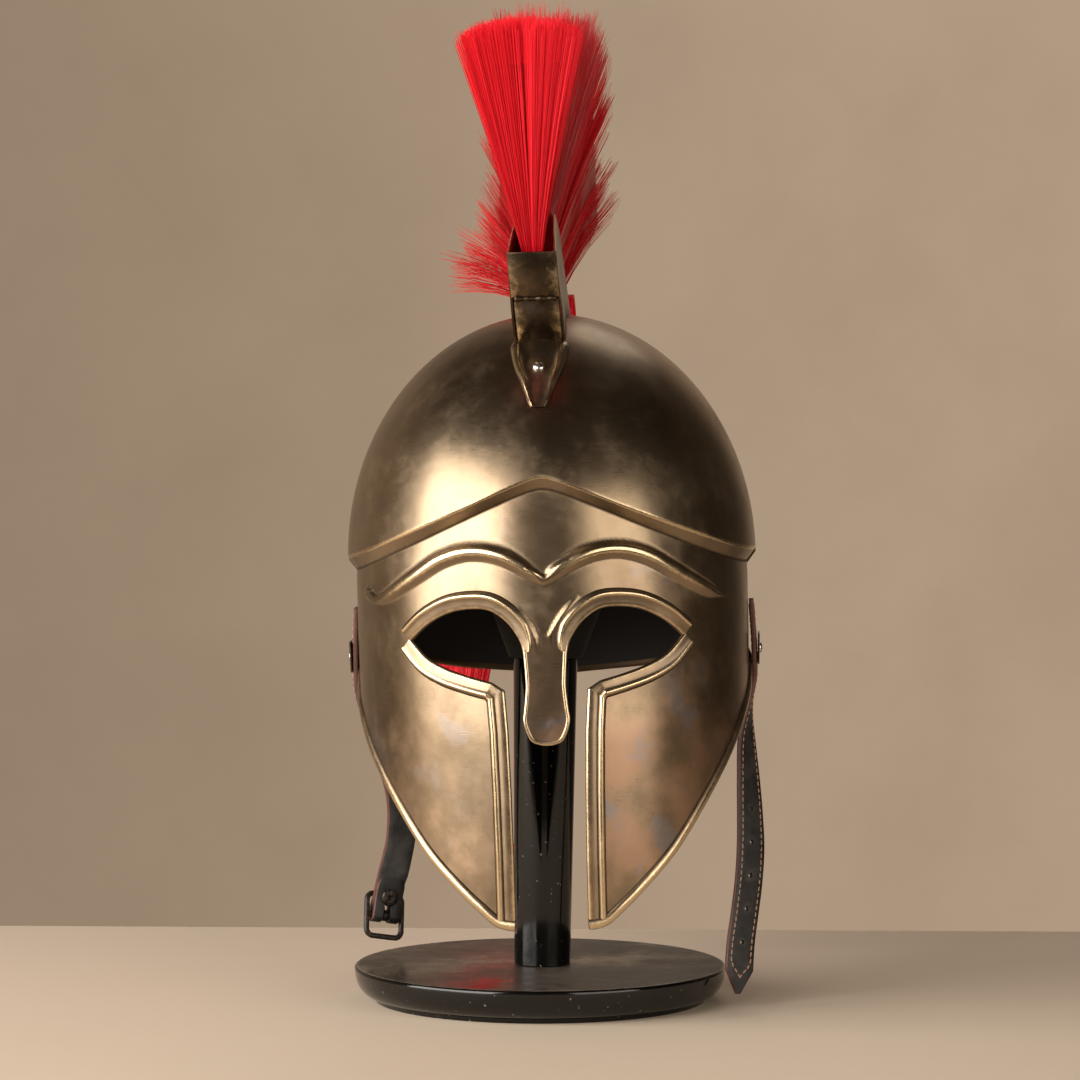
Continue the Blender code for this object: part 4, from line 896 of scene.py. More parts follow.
def holder_side(hand):
    rings, marks = [], []
    for share in np.linspace(0, 1, 40):
        turn = HOLDER_FRONT + (HOLDER_REAR - HOLDER_FRONT) * share
        mouth = HOLDER_WIDTH / 2 * float(mouth_share(share))
        ring, mark = [], []
        for skin, order in ((0.0, 1), (HOLDER_SHEET, -1)):
            for along in (0.0, 0.15, 0.4, 0.7, 0.93, 0.985)[::order]:
                x = HOLDER_WIDTH / 2 + (mouth - HOLDER_WIDTH / 2) * along - skin
                low = dome_radius(turn, x) + CLEARANCE
                dent = 0.0004 * math.sin(share * 23 + along * 4)
                ring.append(crown(turn, low + (HOLDER_RADIUS - low) * along, hand * (x + dent * (along < 0.9))))
                # Painted shade: darkest at the sheet's foot on the crown, and a little all over.
                mark.append((0.75 if along > 0.9 else 0.0, 0.7 if along == 0.0 else 0.1, 0.25))
            if order == 1:
                for lip in (0.25, 0.75):
                    ring.append(crown(turn, HOLDER_RADIUS + 0.0002, hand * (mouth - HOLDER_SHEET * lip)))
                    mark.append((1.0, 0.0, 0.25))
        rings.append(ring)
        marks.append(mark)
    return marked("side", rings, marks)


def end_plate(turn, low, high, half, outward, thick, mark):
    """Plate across the channel at one of its ends, from a lower radius to a higher one."""
    rings, marks = [], []
    way = math.copysign(1, turn)
    for radius, share in ((low, 0), (low + 0.0006, 1), (high - 0.0006, 1), (high, 0)):
        ring, row = [], []
        for x, skin in ((-1, 0.25), (-1, 0.75), (-0.97, 1), (0, 1), (0.97, 1), (1, 0.75), (1, 0.25), (0.97, 0),
                        (0, 0), (-0.97, 0)):
            put = skin if share else 0.25 + skin * 0.5
            point = crown(turn, radius, x * half)
            point[1:] += way * (outward + put * thick) * np.array((math.cos(turn), -math.sin(turn)))
            ring.append(point)
            row.append(mark if 0.05 < put < 0.95 or abs(x) < 0.9 else (0.5, 0.0, mark[2]))
        rings.append(ring)
        marks.append(row)
    return marked("plate", rings, marks)


def foot_leaf(start, way):
    rings, marks = [], []
    # Across the leaf: side, share of the fold's lift, wear, and painted shade, darkest in the hollow inside the folded
    # edges.
    section = [(0.0, 0.30, 0.0, 0.5), (0.30, 0.26, 0.0, 0.45), (0.52, 0.25, 0.0, 0.7), (0.62, 0.55, 0.2, 0.3),
               (0.70, 0.95, 0.8, 0.0), (0.80, 1.05, 1.0, 0.0), (0.90, 0.85, 0.8, 0.0), (0.97, 0.50, 0.9, 0.0),
               (1.0, 0.15, 0.5, 0.3)]
    across = [(-s, *rest) for s, *rest in section[:0:-1]] + section
    for share in np.linspace(0, 1, 30):
        turn = start + way * (TAB_ANGLE * share - math.radians(1.2))
        half = TAB_WIDTH / 2 * float(leaf_share(share))
        fold = 0.0023 * min(1.0, 0.3 + half / (TAB_WIDTH / 2)) * min(1.0, 0.35 + share * 5)
        ring, mark = [], []
        for s, lift_share, worn, shade in across:
            pinch = 1 - 0.18 * max(0.0, share - 0.6) * abs(s)
            wave = 0.0003 * math.sin(share * 17 + s * 5)
            x = s * half * pinch
            ring.append(crown(turn, dome_radius(turn, x) + 0.0009 + fold * lift_share + wave, x))
            mark.append((worn * min(1.0, share * 3), shade * (1 - share * 0.4), 0.9))
        # The leaf's underside against the bowl is painted darkest, as shade.
        for s in (1.0, 0.5, 0.0, -0.5, -1.0):
            ring.append(crown(turn, dome_radius(turn, s * half) + 0.0004, s * half))
            mark.append((0, 1, 0))
        rings.append(ring)
        marks.append(mark)
    return marked("leaf", rings, marks)


holder_bronze = bronze("bronze_of_the_holder", dark=2.0, copper=0.7, rough=0.22, depth=0.33)
leaf_bronze = bronze("bronze_of_the_leaves", dark=0.6, copper=1.3, rough=0.24, depth=1.1)
half_channel = HOLDER_WIDTH / 2
holder_parts = [holder_side(1), holder_side(-1)]
for end in (HOLDER_FRONT, HOLDER_REAR):
    base = dome_radius(end, 0) + CLEARANCE
    # The end plates carry painted shade, more on the lower ones, which sit back between the side sheets.
    holder_parts.append(end_plate(end, base, HOLDER_SEAM + 0.002, half_channel - HOLDER_SHEET - 0.0001, -0.0022,
                                  0.0012, (0.0, 0.35, 0.3)))
    holder_parts.append(end_plate(end, HOLDER_SEAM, HOLDER_RADIUS, half_channel * 0.97, 0.0, 0.0012,
                                  (0.0, 0.25, 0.7)))
fit("holder_sheets", merged("holder_sheets", holder_parts), holder_bronze, "dark_bronze",
    "crest_holder", sharp=35)
fit("holder_leaves", merged("holder_leaves", [foot_leaf(HOLDER_FRONT, -1), foot_leaf(HOLDER_REAR, 1)]),
    leaf_bronze, "dark_bronze", sharp=60)

weld_rings, weld_marks = [], []
for share in np.linspace(0, 1, 26):
    x = (share - 0.5) * HOLDER_WIDTH * 0.86
    lump = 0.0019 * (1 + 0.16 * math.sin(share * 23) + 0.10 * math.sin(share * 9 + 1))
    lump *= 0.35 if share in (0, 1) else 1
    middle = crown(HOLDER_FRONT, HOLDER_SEAM - 0.0012, x)
    middle[1:] += 0.0004 * np.array((-math.cos(HOLDER_FRONT), math.sin(HOLDER_FRONT)))
    weld_rings.append([middle + lump * np.array((0, math.cos(t), 0.8 * math.sin(t)))
                       for t in np.linspace(0, math.tau, 11)[:-1]])
    weld_marks.append([(0.0, 0.55, 0.0)] * 10)
fit("holder_weld", marked("holder_weld", weld_rings, weld_marks), holder_bronze, "dark_bronze")

silver = Finish("silver_rivet")
silver_mottle = silver.noise(400.0, 4, 0.6)
silver.relief(silver_mottle, 0.3, 0.0002)
silver.dress(base_color=silver.mixed(silver_mottle, (0.48, 0.46, 0.44), (0.80, 0.79, 0.78)), metallic=1.0,
             roughness=0.18 + silver_mottle * 0.2)


def facing(point, direction):
    turn = Vector(direction).to_track_quat("Z", "Y").to_matrix().to_4x4()
    return Matrix.Translation(Vector(point)) @ turn


def rivet_head(name, diameter, height, matrix, steps=32):
    radius = diameter / 2
    profile = [(max(0.0001, radius * math.sin(t)), height * math.cos(t) ** 0.8)
               for t in np.linspace(0, math.pi / 2 - 0.02, 9)]
    return turned(name, profile + [(radius, 0.0), (0.0001, 0.0)], matrix, steps)


for word, start, way in (("front", HOLDER_FRONT, -1), ("back", HOLDER_REAR, 1)):
    turn = start + way * TAB_ANGLE * 0.45
    depth = DOME_FRONT if turn < 0 else DOME_REAR
    place = crown(turn, dome_radius(turn, 0) + 0.0016, 0)
    upright = (0, place[1] / depth**2, place[2] / DOME_HEIGHT**2)
    fit(f"holder_rivet_{word}", rivet_head("rivet", HOLDER_RIVET_DIAMETER, 0.0026,
                                           HELMET_MATRIX @ facing(place, upright)), silver, "silver_rivet",
        f"rivet_{word}")


# The crest: long glossy hair, dyed red, bunched on a backing strip in the holder and trimmed to an
# even fan. The front bunch stands up like a broom, and the bunches behind it spread to both sides
# with ragged tips. Each hair is a thin bristle grown from a guide.

CREST_RADIUS = 0.300
CREST_WIDTH = 0.0716
HAIR_WIDTH = 0.00034
CREST_STOPS = (0.0, 0.16, 0.36, 0.64, 1.0)
HAIR_FRONT = HOLDER_FRONT + math.radians(3.0)
HAIR_REAR = HOLDER_REAR - math.radians(9.0)
# Share of the way from front to rear, tip's angle beyond its root's in degrees, then shares of
# CREST_RADIUS, of half CREST_WIDTH, and of that half for the shift to +X
CREST = [
    (0.0, 1.5, 1.018, 0.90, -0.10),
    (0.1, 1.0, 0.998, 0.82, 0.00),
    (0.3, 1.0, 0.972, 0.78, 0.20),
    (0.6, 3.0, 0.975, 0.92, 0.14),
    (0.8, 6.0, 0.965, 1.05, 0.02),
    (1.0, 8.0, 0.945, 1.12, -0.04),
]
crest_lean, crest_reach, crest_half, crest_shift = (follow(CREST, k) for k in (1, 2, 3, 4))
shuffle = np.random.default_rng(7)


def glowing_hair_finish(name, bright, deep):
    """Glossy dyed hair, each bristle a little lighter or darker, deeper towards the root, glowing faintly in its own
    colour as painted light.
    """
    hair = Finish(name)
    tint, along = hair.painted("tint"), hair.painted("along")
    colour = hair.mixed(hair.limited(tint * 0.7 + along * 0.45, 0.1, 0.95), deep, bright)
    # A faint glow in the hair's own colour: painted light that brightens the red.
    hair.shader.inputs["Emission Strength"].default_value = 0.09
    return hair.dress(base_color=colour, emission_color=colour, roughness=0.30 + tint * 0.16)


def bristle_tree(name, finish):
    """Geometry Nodes that grow bristles round guide lines."""
    tree = bpy.data.node_groups.new(name, "GeometryNodeTree")
    face = tree.interface
    face.new_socket("Guides", in_out="INPUT", socket_type="NodeSocketGeometry")
    for word, kind in (("Hairs per guide", "Int"), ("Root spread", "Float"), ("Tip spread", "Float"),
                       ("Hair width", "Float"), ("Seed", "Int")):
        face.new_socket(word, in_out="INPUT", socket_type="NodeSocket" + kind)
    face.new_socket("Hair", in_out="OUTPUT", socket_type="NodeSocketGeometry")
    steps = Nodes(tree)
    given = tree.nodes.new("NodeGroupInput")
    count, root, tip, width, seed = (Value(steps, given.outputs[k]) for k in range(1, 6))
    lines = steps.node("GeometryNodeMeshToCurve", None, {0: Value(steps, given.outputs[0])})
    many = steps.node("GeometryNodeDuplicateElements", {"domain": "SPLINE"}, {"Geometry": lines, "Amount": count})
    index = steps.node("GeometryNodeInputIndex")
    along = steps.node("GeometryNodeSplineParameter", output="Factor")
    stray = steps.node("FunctionNodeRandomValue", {"data_type": "FLOAT_VECTOR"},
                       {0: (-1, -1, -1), 1: (1, 1, 1), "ID": index, "Seed": seed})
    own = steps.node("GeometryNodeFieldOnDomain", {"domain": "CURVE", "data_type": "FLOAT_VECTOR"}, {0: stray})
    reach = root + (tip - root) * along ** 1.3
    away = steps.node("ShaderNodeVectorMath", {"operation": "SCALE"}, {0: own, "Scale": reach})
    spread = steps.node("GeometryNodeSetPosition", None, {"Geometry": many, "Offset": away})
    shade = steps.node("FunctionNodeRandomValue", {"data_type": "FLOAT"}, {"ID": index, "Seed": seed + 1}, 1)
    tinted = steps.node("GeometryNodeStoreNamedAttribute", {"domain": "CURVE", "data_type": "FLOAT"},
                        {"Geometry": spread, "Name": "tint", "Value": shade})
    graded = steps.node("GeometryNodeStoreNamedAttribute", {"domain": "POINT", "data_type": "FLOAT"},
                        {"Geometry": tinted, "Name": "along", "Value": along})
    ring = steps.node("GeometryNodeCurvePrimitiveCircle", None, {"Resolution": 3, "Radius": 0.5})
    bristles = steps.node("GeometryNodeCurveToMesh", None,
                          {"Curve": graded, "Profile Curve": ring, "Fill Caps": True,
                           "Scale": width * (1 - along ** 3 * 0.55)})
    real = steps.node("GeometryNodeRealizeInstances", None, {0: bristles})
    dressed = steps.node("GeometryNodeSetMaterial", None, {"Geometry": real, "Material": finish.material})
    out = tree.nodes.new("NodeGroupOutput")
    steps.join(dressed, out.inputs[0])
    return tree


def grown(name, tree, paths, **sizes):
    """Plain mesh that a tree makes from guide lines."""
    points = [tuple(p) for path in paths for p in path]
    edges, start = [], 0
    for path in paths:
        edges += [(start + i, start + i + 1) for i in range(len(path) - 1)]
        start += len(path)
    guides = bpy.data.meshes.new(name + "_guides")
    guides.from_pydata(points, edges, [])
    carrier = bpy.data.objects.new(name, guides)
    bpy.context.scene.collection.objects.link(carrier)
    step = carrier.modifiers.new("grow", "NODES")
    step.node_group = tree
    sockets = {item.name: item.identifier for item in tree.interface.items_tree if item.in_out == "INPUT"}
    for word, size in sizes.items():
        step[sockets[word.replace("_", " ").capitalize()]] = size
    graph = bpy.context.evaluated_depsgraph_get()
    mesh = bpy.data.meshes.new_from_object(carrier.evaluated_get(graph))
    mesh.name = name
    bpy.data.objects.remove(carrier, do_unlink=True)
    return mesh


def crest_guide(share, side, length=1.0):
    """Guide hair of the crest, from its place along the holder and from side to side."""
    root = HAIR_FRONT + (HAIR_REAR - HAIR_FRONT) * share
    lean = math.radians(float(crest_lean(share)))
    half = CREST_WIDTH / 2 * float(crest_half(share))
    shift = CREST_WIDTH / 2 * float(crest_shift(share))
    foot = HOLDER_RADIUS - 0.012
    reach = CREST_RADIUS * float(crest_reach(share)) * length - foot
    points = []
    for along in CREST_STOPS:
        out = side * (0.0036 + (half - 0.0036) * along**1.1) + shift * along
        drop = 0.032 * side * side * along * half / (CREST_WIDTH / 2)
        radius = foot + reach * along * (1 - drop * 2.2)
        points.append(HELMET_MATRIX @ Vector(crown(root + lean * along, radius, out)))
    return points


hair_red = glowing_hair_finish("red_hair", (1.0, 0.020, 0.038), (0.50, 0.004, 0.010))
# The bunches behind the front one take a darker copy of the red hair: painted shade.
shaded_rear_red = glowing_hair_finish("shaded_red_hair", (0.66, 0.014, 0.020), (0.26, 0.002, 0.005))
bristles = bristle_tree("bright_bristles", hair_red)
rear_bristles = bristle_tree("shaded_bristles", shaded_rear_red)
front_guides = [crest_guide(shuffle.uniform(0.0, 0.10), math.copysign(abs(s) ** 0.85, s),
                            1 + shuffle.normal(0, 0.004)) for s in shuffle.uniform(-1, 1, 560)]
front_hair = grown("front_bunch", bristles, front_guides, hairs_per_guide=11, root_spread=0.0008,
                   tip_spread=0.0024, hair_width=HAIR_WIDTH, seed=3)
fit("crest_front_bunch", front_hair, None, "red_hair", "plume")
rear_guides = []
for _ in range(660):
    share = 0.10 + 0.90 * shuffle.random() ** 0.9
    side = math.copysign(shuffle.random() ** 0.7, shuffle.random() - 0.5)
    rear_guides.append(crest_guide(share, side, 1 + shuffle.normal(0, 0.012)))
LOW_TUFTS = [(26, 7.0, -0.98, 0.93), (20, 10.5, -1.38, 0.88), (4, 13.0, -1.62, 0.88)]
for count, lean_more, aside, reach in LOW_TUFTS:
    for _ in range(count):
        root = HAIR_REAR - math.radians(shuffle.uniform(0, 5))
        lean = math.radians(lean_more + shuffle.normal(0, 1.6))
        tip = CREST_WIDTH / 2 * (aside + shuffle.normal(0, 0.14))
        low, high = HOLDER_RADIUS - 0.012, CREST_RADIUS * (reach + shuffle.normal(0, 0.01)) * 0.94
        rear_guides.append([HELMET_MATRIX @ Vector(crown(root + lean * t, low + (high - low) * t, tip * t**1.1))
                            for t in (0.0, 0.18, 0.36, 0.55, 0.78, 1.0)])
rear_hair = grown("rear_bunches", rear_bristles, rear_guides, hairs_per_guide=10, root_spread=0.0009,
                  tip_spread=0.0034, hair_width=HAIR_WIDTH, seed=5)
fit("crest_rear_bunches", rear_hair, None, "red_hair")


def core_lock(name, shares, root_half, tip_half, reach):
    """Closed body inside the hair, which keeps light from passing between the bristles, coloured the darkest shaded red
    as painted shade.
    """
    rings = []
    for share in shares:
        flanks = []
        for hand in (1, -1):
            flanks.append([crest_guide(share, hand * (root_half + (tip_half - root_half) * along), reach)[stop]
                           for stop, along in enumerate(CREST_STOPS)])
        rings.append(flanks[0] + flanks[1][::-1])
    mesh = through_rings(name, rings)
    # Its tint and place along are nought, so it takes the darkest red: painted shade.
    for word in ("tint", "along"):
        carry(mesh, word, np.zeros(len(mesh.vertices)))
    return mesh


fit("crest_core", core_lock("crest_core", np.linspace(0.01, 0.97, 16), 0.9, 0.72, 0.94),
    shaded_rear_red, "red_hair")


# The long hair behind: a tail of the same hair that leaves the holder's rear end, arches over and
# hangs behind the neck to the left, thin and pointed at its end.

TAIL_REACH = 0.216
TAIL_DROP = 0.193
TAIL_WIDTH = 0.050
# Shares of TAIL_REACH back, TAIL_DROP up and TAIL_WIDTH to the side, share of its thickness
TAIL = [
    (0.618, 0.565, 0.0, 0.30),
    (0.662, 0.625, 0.0, 0.33),
    (0.745, 0.725, 0.0, 0.50),
    (0.868, 0.695, -0.03, 0.60),
    (0.965, 0.560, -0.08, 0.72),
    (1.0, 0.330, -0.22, 0.84),
    (0.975, 0.060, -0.58, 0.90),
    (0.920, -0.230, -1.06, 0.92),
    (0.860, -0.492, -1.33, 0.92),
    (0.800, -0.751, -1.22, 0.80),
    (0.762, -0.922, -0.88, 0.50),
    (0.744, -1.0, -0.66, 0.18),
]
tail_path = smooth_path(TAIL, 2)
for part in ("inner", "outer"):
    tail_guides = []
    for _ in range(190):
        turn = shuffle.uniform(0, math.tau)
        out = shuffle.random() ** 0.55 * (0.8 if part == "inner" else 0.25) + (0.0 if part == "inner" else 0.75)
        length = 1 - 0.20 * shuffle.random() ** 1.6
        rows = tail_path[:max(8, round(len(tail_path) * length))]
        tail_guides.append([HELMET_MATRIX @ Vector((
            (aside + 0.36 * thick * out * math.cos(turn)) * TAIL_WIDTH,
            back * TAIL_REACH + 0.24 * thick * out * math.sin(turn) * TAIL_WIDTH, up * TAIL_DROP))
            for back, up, aside, thick in rows])
    tail_hair = grown(f"tail_{part}", bristles, tail_guides, hairs_per_guide=6, root_spread=0.0008,
                      tip_spread=0.0030, hair_width=HAIR_WIDTH * 1.25, seed=9 if part == "inner" else 11)
    fit(f"tail_hair_{part}", tail_hair, None, "red_hair", *(("plume_tail",) if part == "inner" else ()))


# The straps: black leather, smooth outside and rough grey inside, with two rows of tan stitching
# and dark red-brown edges. The long one hangs loose with punched holes and a pointed tip, and the
# short one is folded round the buckle's bar. Each hangs from a riveted plate at the ear.

BORDER_HEIGHT = 0.0014
STRAP_WIDTH = 0.018
STRAP_THICKNESS = 0.0026
STRAP_BACK = 0.010
STRAP_TOP_DROP = 0.027
STRAP_EDGE_DROP = 0.062
STRAP_RIGHT_DROP = 0.176
STRAP_LEFT_DROP = 0.138
STRAP_POINT = 0.013
STRAP_HOLE = 0.0028
STRAP_HOLE_PITCH = 0.0185
STRAP_HOLE_COUNT = 5
STRAP_FIRST_HOLE = 0.028
STITCH_ROWS = 0.0130
STITCH_PITCH = 0.0036
BUCKLE_BAR = 0.0024
FOLD_WIDTH = 0.0164
FOLD_LENGTH = 0.022
FOLD_SLOT = 0.005
# Shares of the drop below the edge outwards, back and down, twist in degrees
STRAP_RIGHT = [
    (-0.002, 0.0, 0.05, 0), (-0.016, -0.01, 0.13, 5), (-0.025, -0.03, 0.23, 25),
    (-0.019, -0.050, 0.36, 38), (-0.014, -0.077, 0.464, 45), (-0.012, -0.11, 0.564, 50),
    (-0.018, -0.144, 0.663, 50), (-0.030, -0.177, 0.759, 50), (-0.043, -0.204, 0.858, 52),
    (-0.051, -0.238, 1.0, 54),
]
STRAP_LEFT = [
    (-0.003, 0.0, 0.06, 0), (-0.030, 0.010, 0.147, 8), (-0.098, 0.063, 0.322, 25),
    (-0.158, 0.119, 0.497, 42), (-0.166, 0.154, 0.657, 55), (-0.145, 0.168, 0.776, 60),
    (-0.119, 0.168, 0.881, 62), (-0.095, 0.168, 1.0, 62),
]


def ear_side(level, gap):
    return HALF_WIDTH * float(section_half(level / CHEEK_DROP)) + gap


def strap_frames(side, table, drop):
    """Centre, direction down, width and normal along a strap, from the ear to its end."""
    rim_gap = BORDER_HEIGHT + CLEARANCE * 2
    rows = []
    for down, gap in ((STRAP_TOP_DROP, CLEARANCE * 1.5),
                      ((STRAP_TOP_DROP + STRAP_EDGE_DROP) / 2, rim_gap * 0.7),
                      (STRAP_EDGE_DROP, rim_gap)):
        x = side * ear_side(-down, gap + STRAP_THICKNESS / 2)
        rows.append((*(HELMET_MATRIX @ Vector((x, STRAP_BACK, -down))), 0.0))
    edge = rows[-1]
    for out, back, down, twist in table:
        rows.append((edge[0] + side * out * drop, edge[1] + back * drop, edge[2] - down * drop,
                     math.radians(twist)))
    rows = np.array(smooth_path(rows, 6))
    ways = np.gradient(rows[:, :3], axis=0)
    frames = []
    for (x, y, z, twist), way in zip(rows, ways):
        down = Vector(way).normalized()
        width = Vector((math.sin(twist), math.cos(twist), 0))
        width = (width - down * down.dot(width)).normalized()
        frames.append((Vector((x, y, z)), down, width, down.cross(width)))
    return frames


def lengths(frames):
    spans = [(b[0] - a[0]).length for a, b in zip(frames, frames[1:])]
    return np.concatenate([[0.0], np.cumsum(spans)])


def strap_at(frames, place):
    """Frame at a distance down a strap."""
    run = lengths(frames)
    i = int(np.clip(np.searchsorted(run, place) - 1, 0, len(run) - 2))
    share = (place - run[i]) / (run[i + 1] - run[i])
    return tuple(a.lerp(b, share) for a, b in zip(frames[i], frames[i + 1]))


def leather_band(name, frames, widths):
    """Strap with soft edges through its frames."""
    section = [(-1.0, -0.22), (-0.985, -0.40), (-0.95, -0.5), (-0.5, -0.5), (0.0, -0.5), (0.5, -0.5), (0.95, -0.5),
               (0.985, -0.40), (1.0, -0.22), (1.0, 0.22), (0.985, 0.40), (0.95, 0.5), (0.5, 0.5), (0.0, 0.5),
               (-0.5, 0.5), (-0.95, 0.5), (-0.985, 0.40), (-1.0, 0.22)]
    return through_rings(name, [[centre + width * (a * size / 2) + normal * (t * STRAP_THICKNESS) for a, t in section]
                                for (centre, _, width, normal), size in zip(frames, widths)])


def mark_band(mesh, frames, widths, flesh, holes=()):
    """Paints a strap's edges, its rough side, which is along flesh x normal, and rings at its holes."""
    places = np.array([v.co for v in mesh.vertices])
    middles, across, normals = (np.array([f[k] for f in frames]) for k in (0, 2, 3))
    nearest = np.argmin(((places[:, None] - middles[None]) ** 2).sum(-1), axis=1)
    away = places - middles[nearest]
    share = np.abs((away * across[nearest]).sum(-1)) / (np.array(widths)[nearest] / 2)
    level = (away * normals[nearest]).sum(-1) / STRAP_THICKNESS * flesh
    ring = np.zeros(len(places))
    for hole in holes:
        apart = np.linalg.norm(places - np.array(hole), axis=-1)
        ring = np.maximum(ring, np.clip(1.0 - np.abs(apart - STRAP_HOLE * 0.62) / 0.0006, 0, 1))
    carry(mesh, "edge", np.clip((share - 0.94) / 0.05, 0, 1) * (np.abs(level) < 0.45))
    carry(mesh, "flesh", level > 0.35)
    carry(mesh, "ring", ring)


def leather_finish(name):
    hide = Finish(name)
    edge, flesh, ring = (hide.painted(word) for word in ("edge", "flesh", "ring"))
    grain, fuzz, blot = hide.noise(1500.0, 3, 0.6), hide.noise(3800.0, 4, 0.8), hide.noise(120.0, 4, 0.6)
    smooth = hide.mixed(hide.limited(blot, 0.35, 0.75), (0.010, 0.009, 0.009), (0.030, 0.027, 0.026))
    rough = hide.mixed(hide.limited(fuzz * 0.6 + blot * 0.4, 0.35, 0.65), (0.020, 0.019, 0.019), (0.105, 0.098, 0.092))
    cut = hide.mixed(blot, (0.060, 0.016, 0.010), (0.130, 0.050, 0.032))
    colour = hide.mixed(ring * 0.6, hide.mixed(edge, hide.mixed(flesh, smooth, rough), cut), (0.11, 0.09, 0.08))
    hide.relief(grain * (1 - flesh) + fuzz * flesh, 0.5, 0.00025)
    return hide.dress(base_color=colour, roughness=hide.limited(0.40 + blot * 0.15 + flesh * 0.4, 0.0, 0.95))


def stitch_tree(finish):
    """Geometry Nodes that lay stitches along guide lines."""
    tree = bpy.data.node_groups.new("stitches", "GeometryNodeTree")
    face = tree.interface
    face.new_socket("Guides", in_out="INPUT", socket_type="NodeSocketGeometry")
    for word in ("Pitch", "Stitch length", "Thread width"):
        face.new_socket(word, in_out="INPUT", socket_type="NodeSocketFloat")
    face.new_socket("Stitches", in_out="OUTPUT", socket_type="NodeSocketGeometry")
    steps = Nodes(tree)
    given = tree.nodes.new("NodeGroupInput")
    guides, pitch, length, width = (Value(steps, given.outputs[k]) for k in range(4))
    lines = steps.node("GeometryNodeMeshToCurve", None, {0: guides})
    points = steps.node("GeometryNodeCurveToPoints", {"mode": "LENGTH"}, {"Curve": lines, "Length": pitch})
    tangent = Value(steps, points.socket.node.outputs["Tangent"])
    stray = steps.node("FunctionNodeRandomValue", {"data_type": "FLOAT_VECTOR"},
                       {0: (-0.12, -0.12, -0.12), 1: (0.12, 0.12, 0.12), "Seed": 4})
    way = steps.node("ShaderNodeVectorMath", {"operation": "ADD"}, {0: tangent, 1: stray})
    turn = steps.node("FunctionNodeAlignRotationToVector", {"axis": "Z"}, {"Vector": way})
    bead = steps.node("GeometryNodeMeshUVSphere", None, {"Segments": 8, "Rings": 7, "Radius": 0.5})
    size = steps.node("ShaderNodeCombineXYZ", None, {0: width, 1: width, 2: length})
    laid = steps.node("GeometryNodeInstanceOnPoints", None,
                      {"Points": points, "Instance": bead, "Rotation": turn, "Scale": size})
    real = steps.node("GeometryNodeRealizeInstances", None, {0: laid})
    dressed = steps.node("GeometryNodeSetMaterial", None, {"Geometry": real, "Material": finish.material})
    out = tree.nodes.new("NodeGroupOutput")
    steps.join(dressed, out.inputs[0])
    return tree


def stitch_lines(frames, first, last, faces, tip=None):
    """Guide lines of the rows of stitches, two on each given face of a strap."""
    whole = lengths(frames)[-1]
    rows = []
    for face in faces:
        for hand in (1, -1):
            row = []
            for place in np.linspace(first, last, 60):
                centre, _, width, normal = strap_at(frames, place)
                offset = STITCH_ROWS / 2
                if tip:
                    offset *= float(np.clip((whole - place - tip) / 0.0075, 0.02, 1))
                row.append(centre + width * (hand * offset) + normal * (face * STRAP_THICKNESS * 0.5))
            rows.append(row)
    return rows


leather = leather_finish("black_leather")
thread = Finish("tan_thread")
thread_mottle = thread.noise(900.0, 3)
thread.dress(base_color=thread.mixed(thread_mottle, (0.28, 0.15, 0.09), (0.55, 0.34, 0.22)), roughness=0.8)
stitches = stitch_tree(thread)
stitch_sizes = {"pitch": STITCH_PITCH, "stitch_length": 0.0029, "thread_width": 0.00085}

right_frames = strap_frames(1, STRAP_RIGHT, STRAP_RIGHT_DROP)
right_length = lengths(right_frames)[-1]
right_places = list(np.linspace(0, right_length - STRAP_POINT, 70)[:-1])
right_places += list(np.linspace(right_length - STRAP_POINT, right_length, 8))
right_band = [strap_at(right_frames, place) for place in right_places]
right_widths = [STRAP_WIDTH * float(np.interp(right_length - place, (0.0, STRAP_POINT * 0.45, STRAP_POINT),
                                              (0.10, 0.52, 1.0))) for place in right_places]
right_mesh = leather_band("long_strap", right_band, right_widths)
hole_places = []
for k in range(STRAP_HOLE_COUNT):
    centre, _, _, normal = strap_at(right_frames, right_length - STRAP_FIRST_HOLE - STRAP_HOLE_PITCH * k)
    punch = [(STRAP_HOLE / 2, STRAP_THICKNESS), (STRAP_HOLE / 2, -STRAP_THICKNESS)]
    right_mesh = cut_by(right_mesh, turned("punch", punch, facing(centre, normal), 24))
    hole_places += [centre + normal * (STRAP_THICKNESS * t) for t in (-0.5, 0.5)]
mark_band(right_mesh, right_band, right_widths, -1, hole_places)
fit("long_strap", right_mesh, leather, "black_leather", "strap_right", sharp=50)
fit("long_strap_stitches", grown("long_strap_stitches", stitches, stitch_lines(
    right_frames, 0.004, right_length - 0.0095, (1, -1), 0.009), **stitch_sizes), None, "black_leather")

left_frames = strap_frames(-1, STRAP_LEFT, STRAP_LEFT_DROP)
left_length = lengths(left_frames)[-1]
bar, bar_down, bar_width, bar_normal = left_frames[-1]
bar_away = bar_normal if bar_normal.y > 0 else -bar_normal
BAR_MATRIX = Matrix((bar_width, bar_away, -bar_down)).transposed().to_4x4()
BAR_MATRIX.translation = bar
hug = BUCKLE_BAR / 2 + CLEARANCE * 1.5
layer = STRAP_THICKNESS * 0.52
bend = hug + STRAP_THICKNESS * 0.42
side_path = [(layer, FOLD_LENGTH * 0.62), (layer, FOLD_LENGTH * 0.45), (layer * 1.25, 0.0075), (bend * 0.82, 0.0045)]
side_path += [(bend * math.cos(t), -bend * math.sin(t)) for t in np.linspace(-0.35, math.pi + 0.35, 22)]
side_path += [(-bend * 0.82, 0.0045), (-layer * 1.25, 0.0075), (-layer, FOLD_LENGTH * 0.45), (-layer, FOLD_LENGTH * 0.62),
              (-layer, FOLD_LENGTH * 0.80), (-layer, FOLD_LENGTH * 0.93), (-layer * 0.9, FOLD_LENGTH * 0.98)]
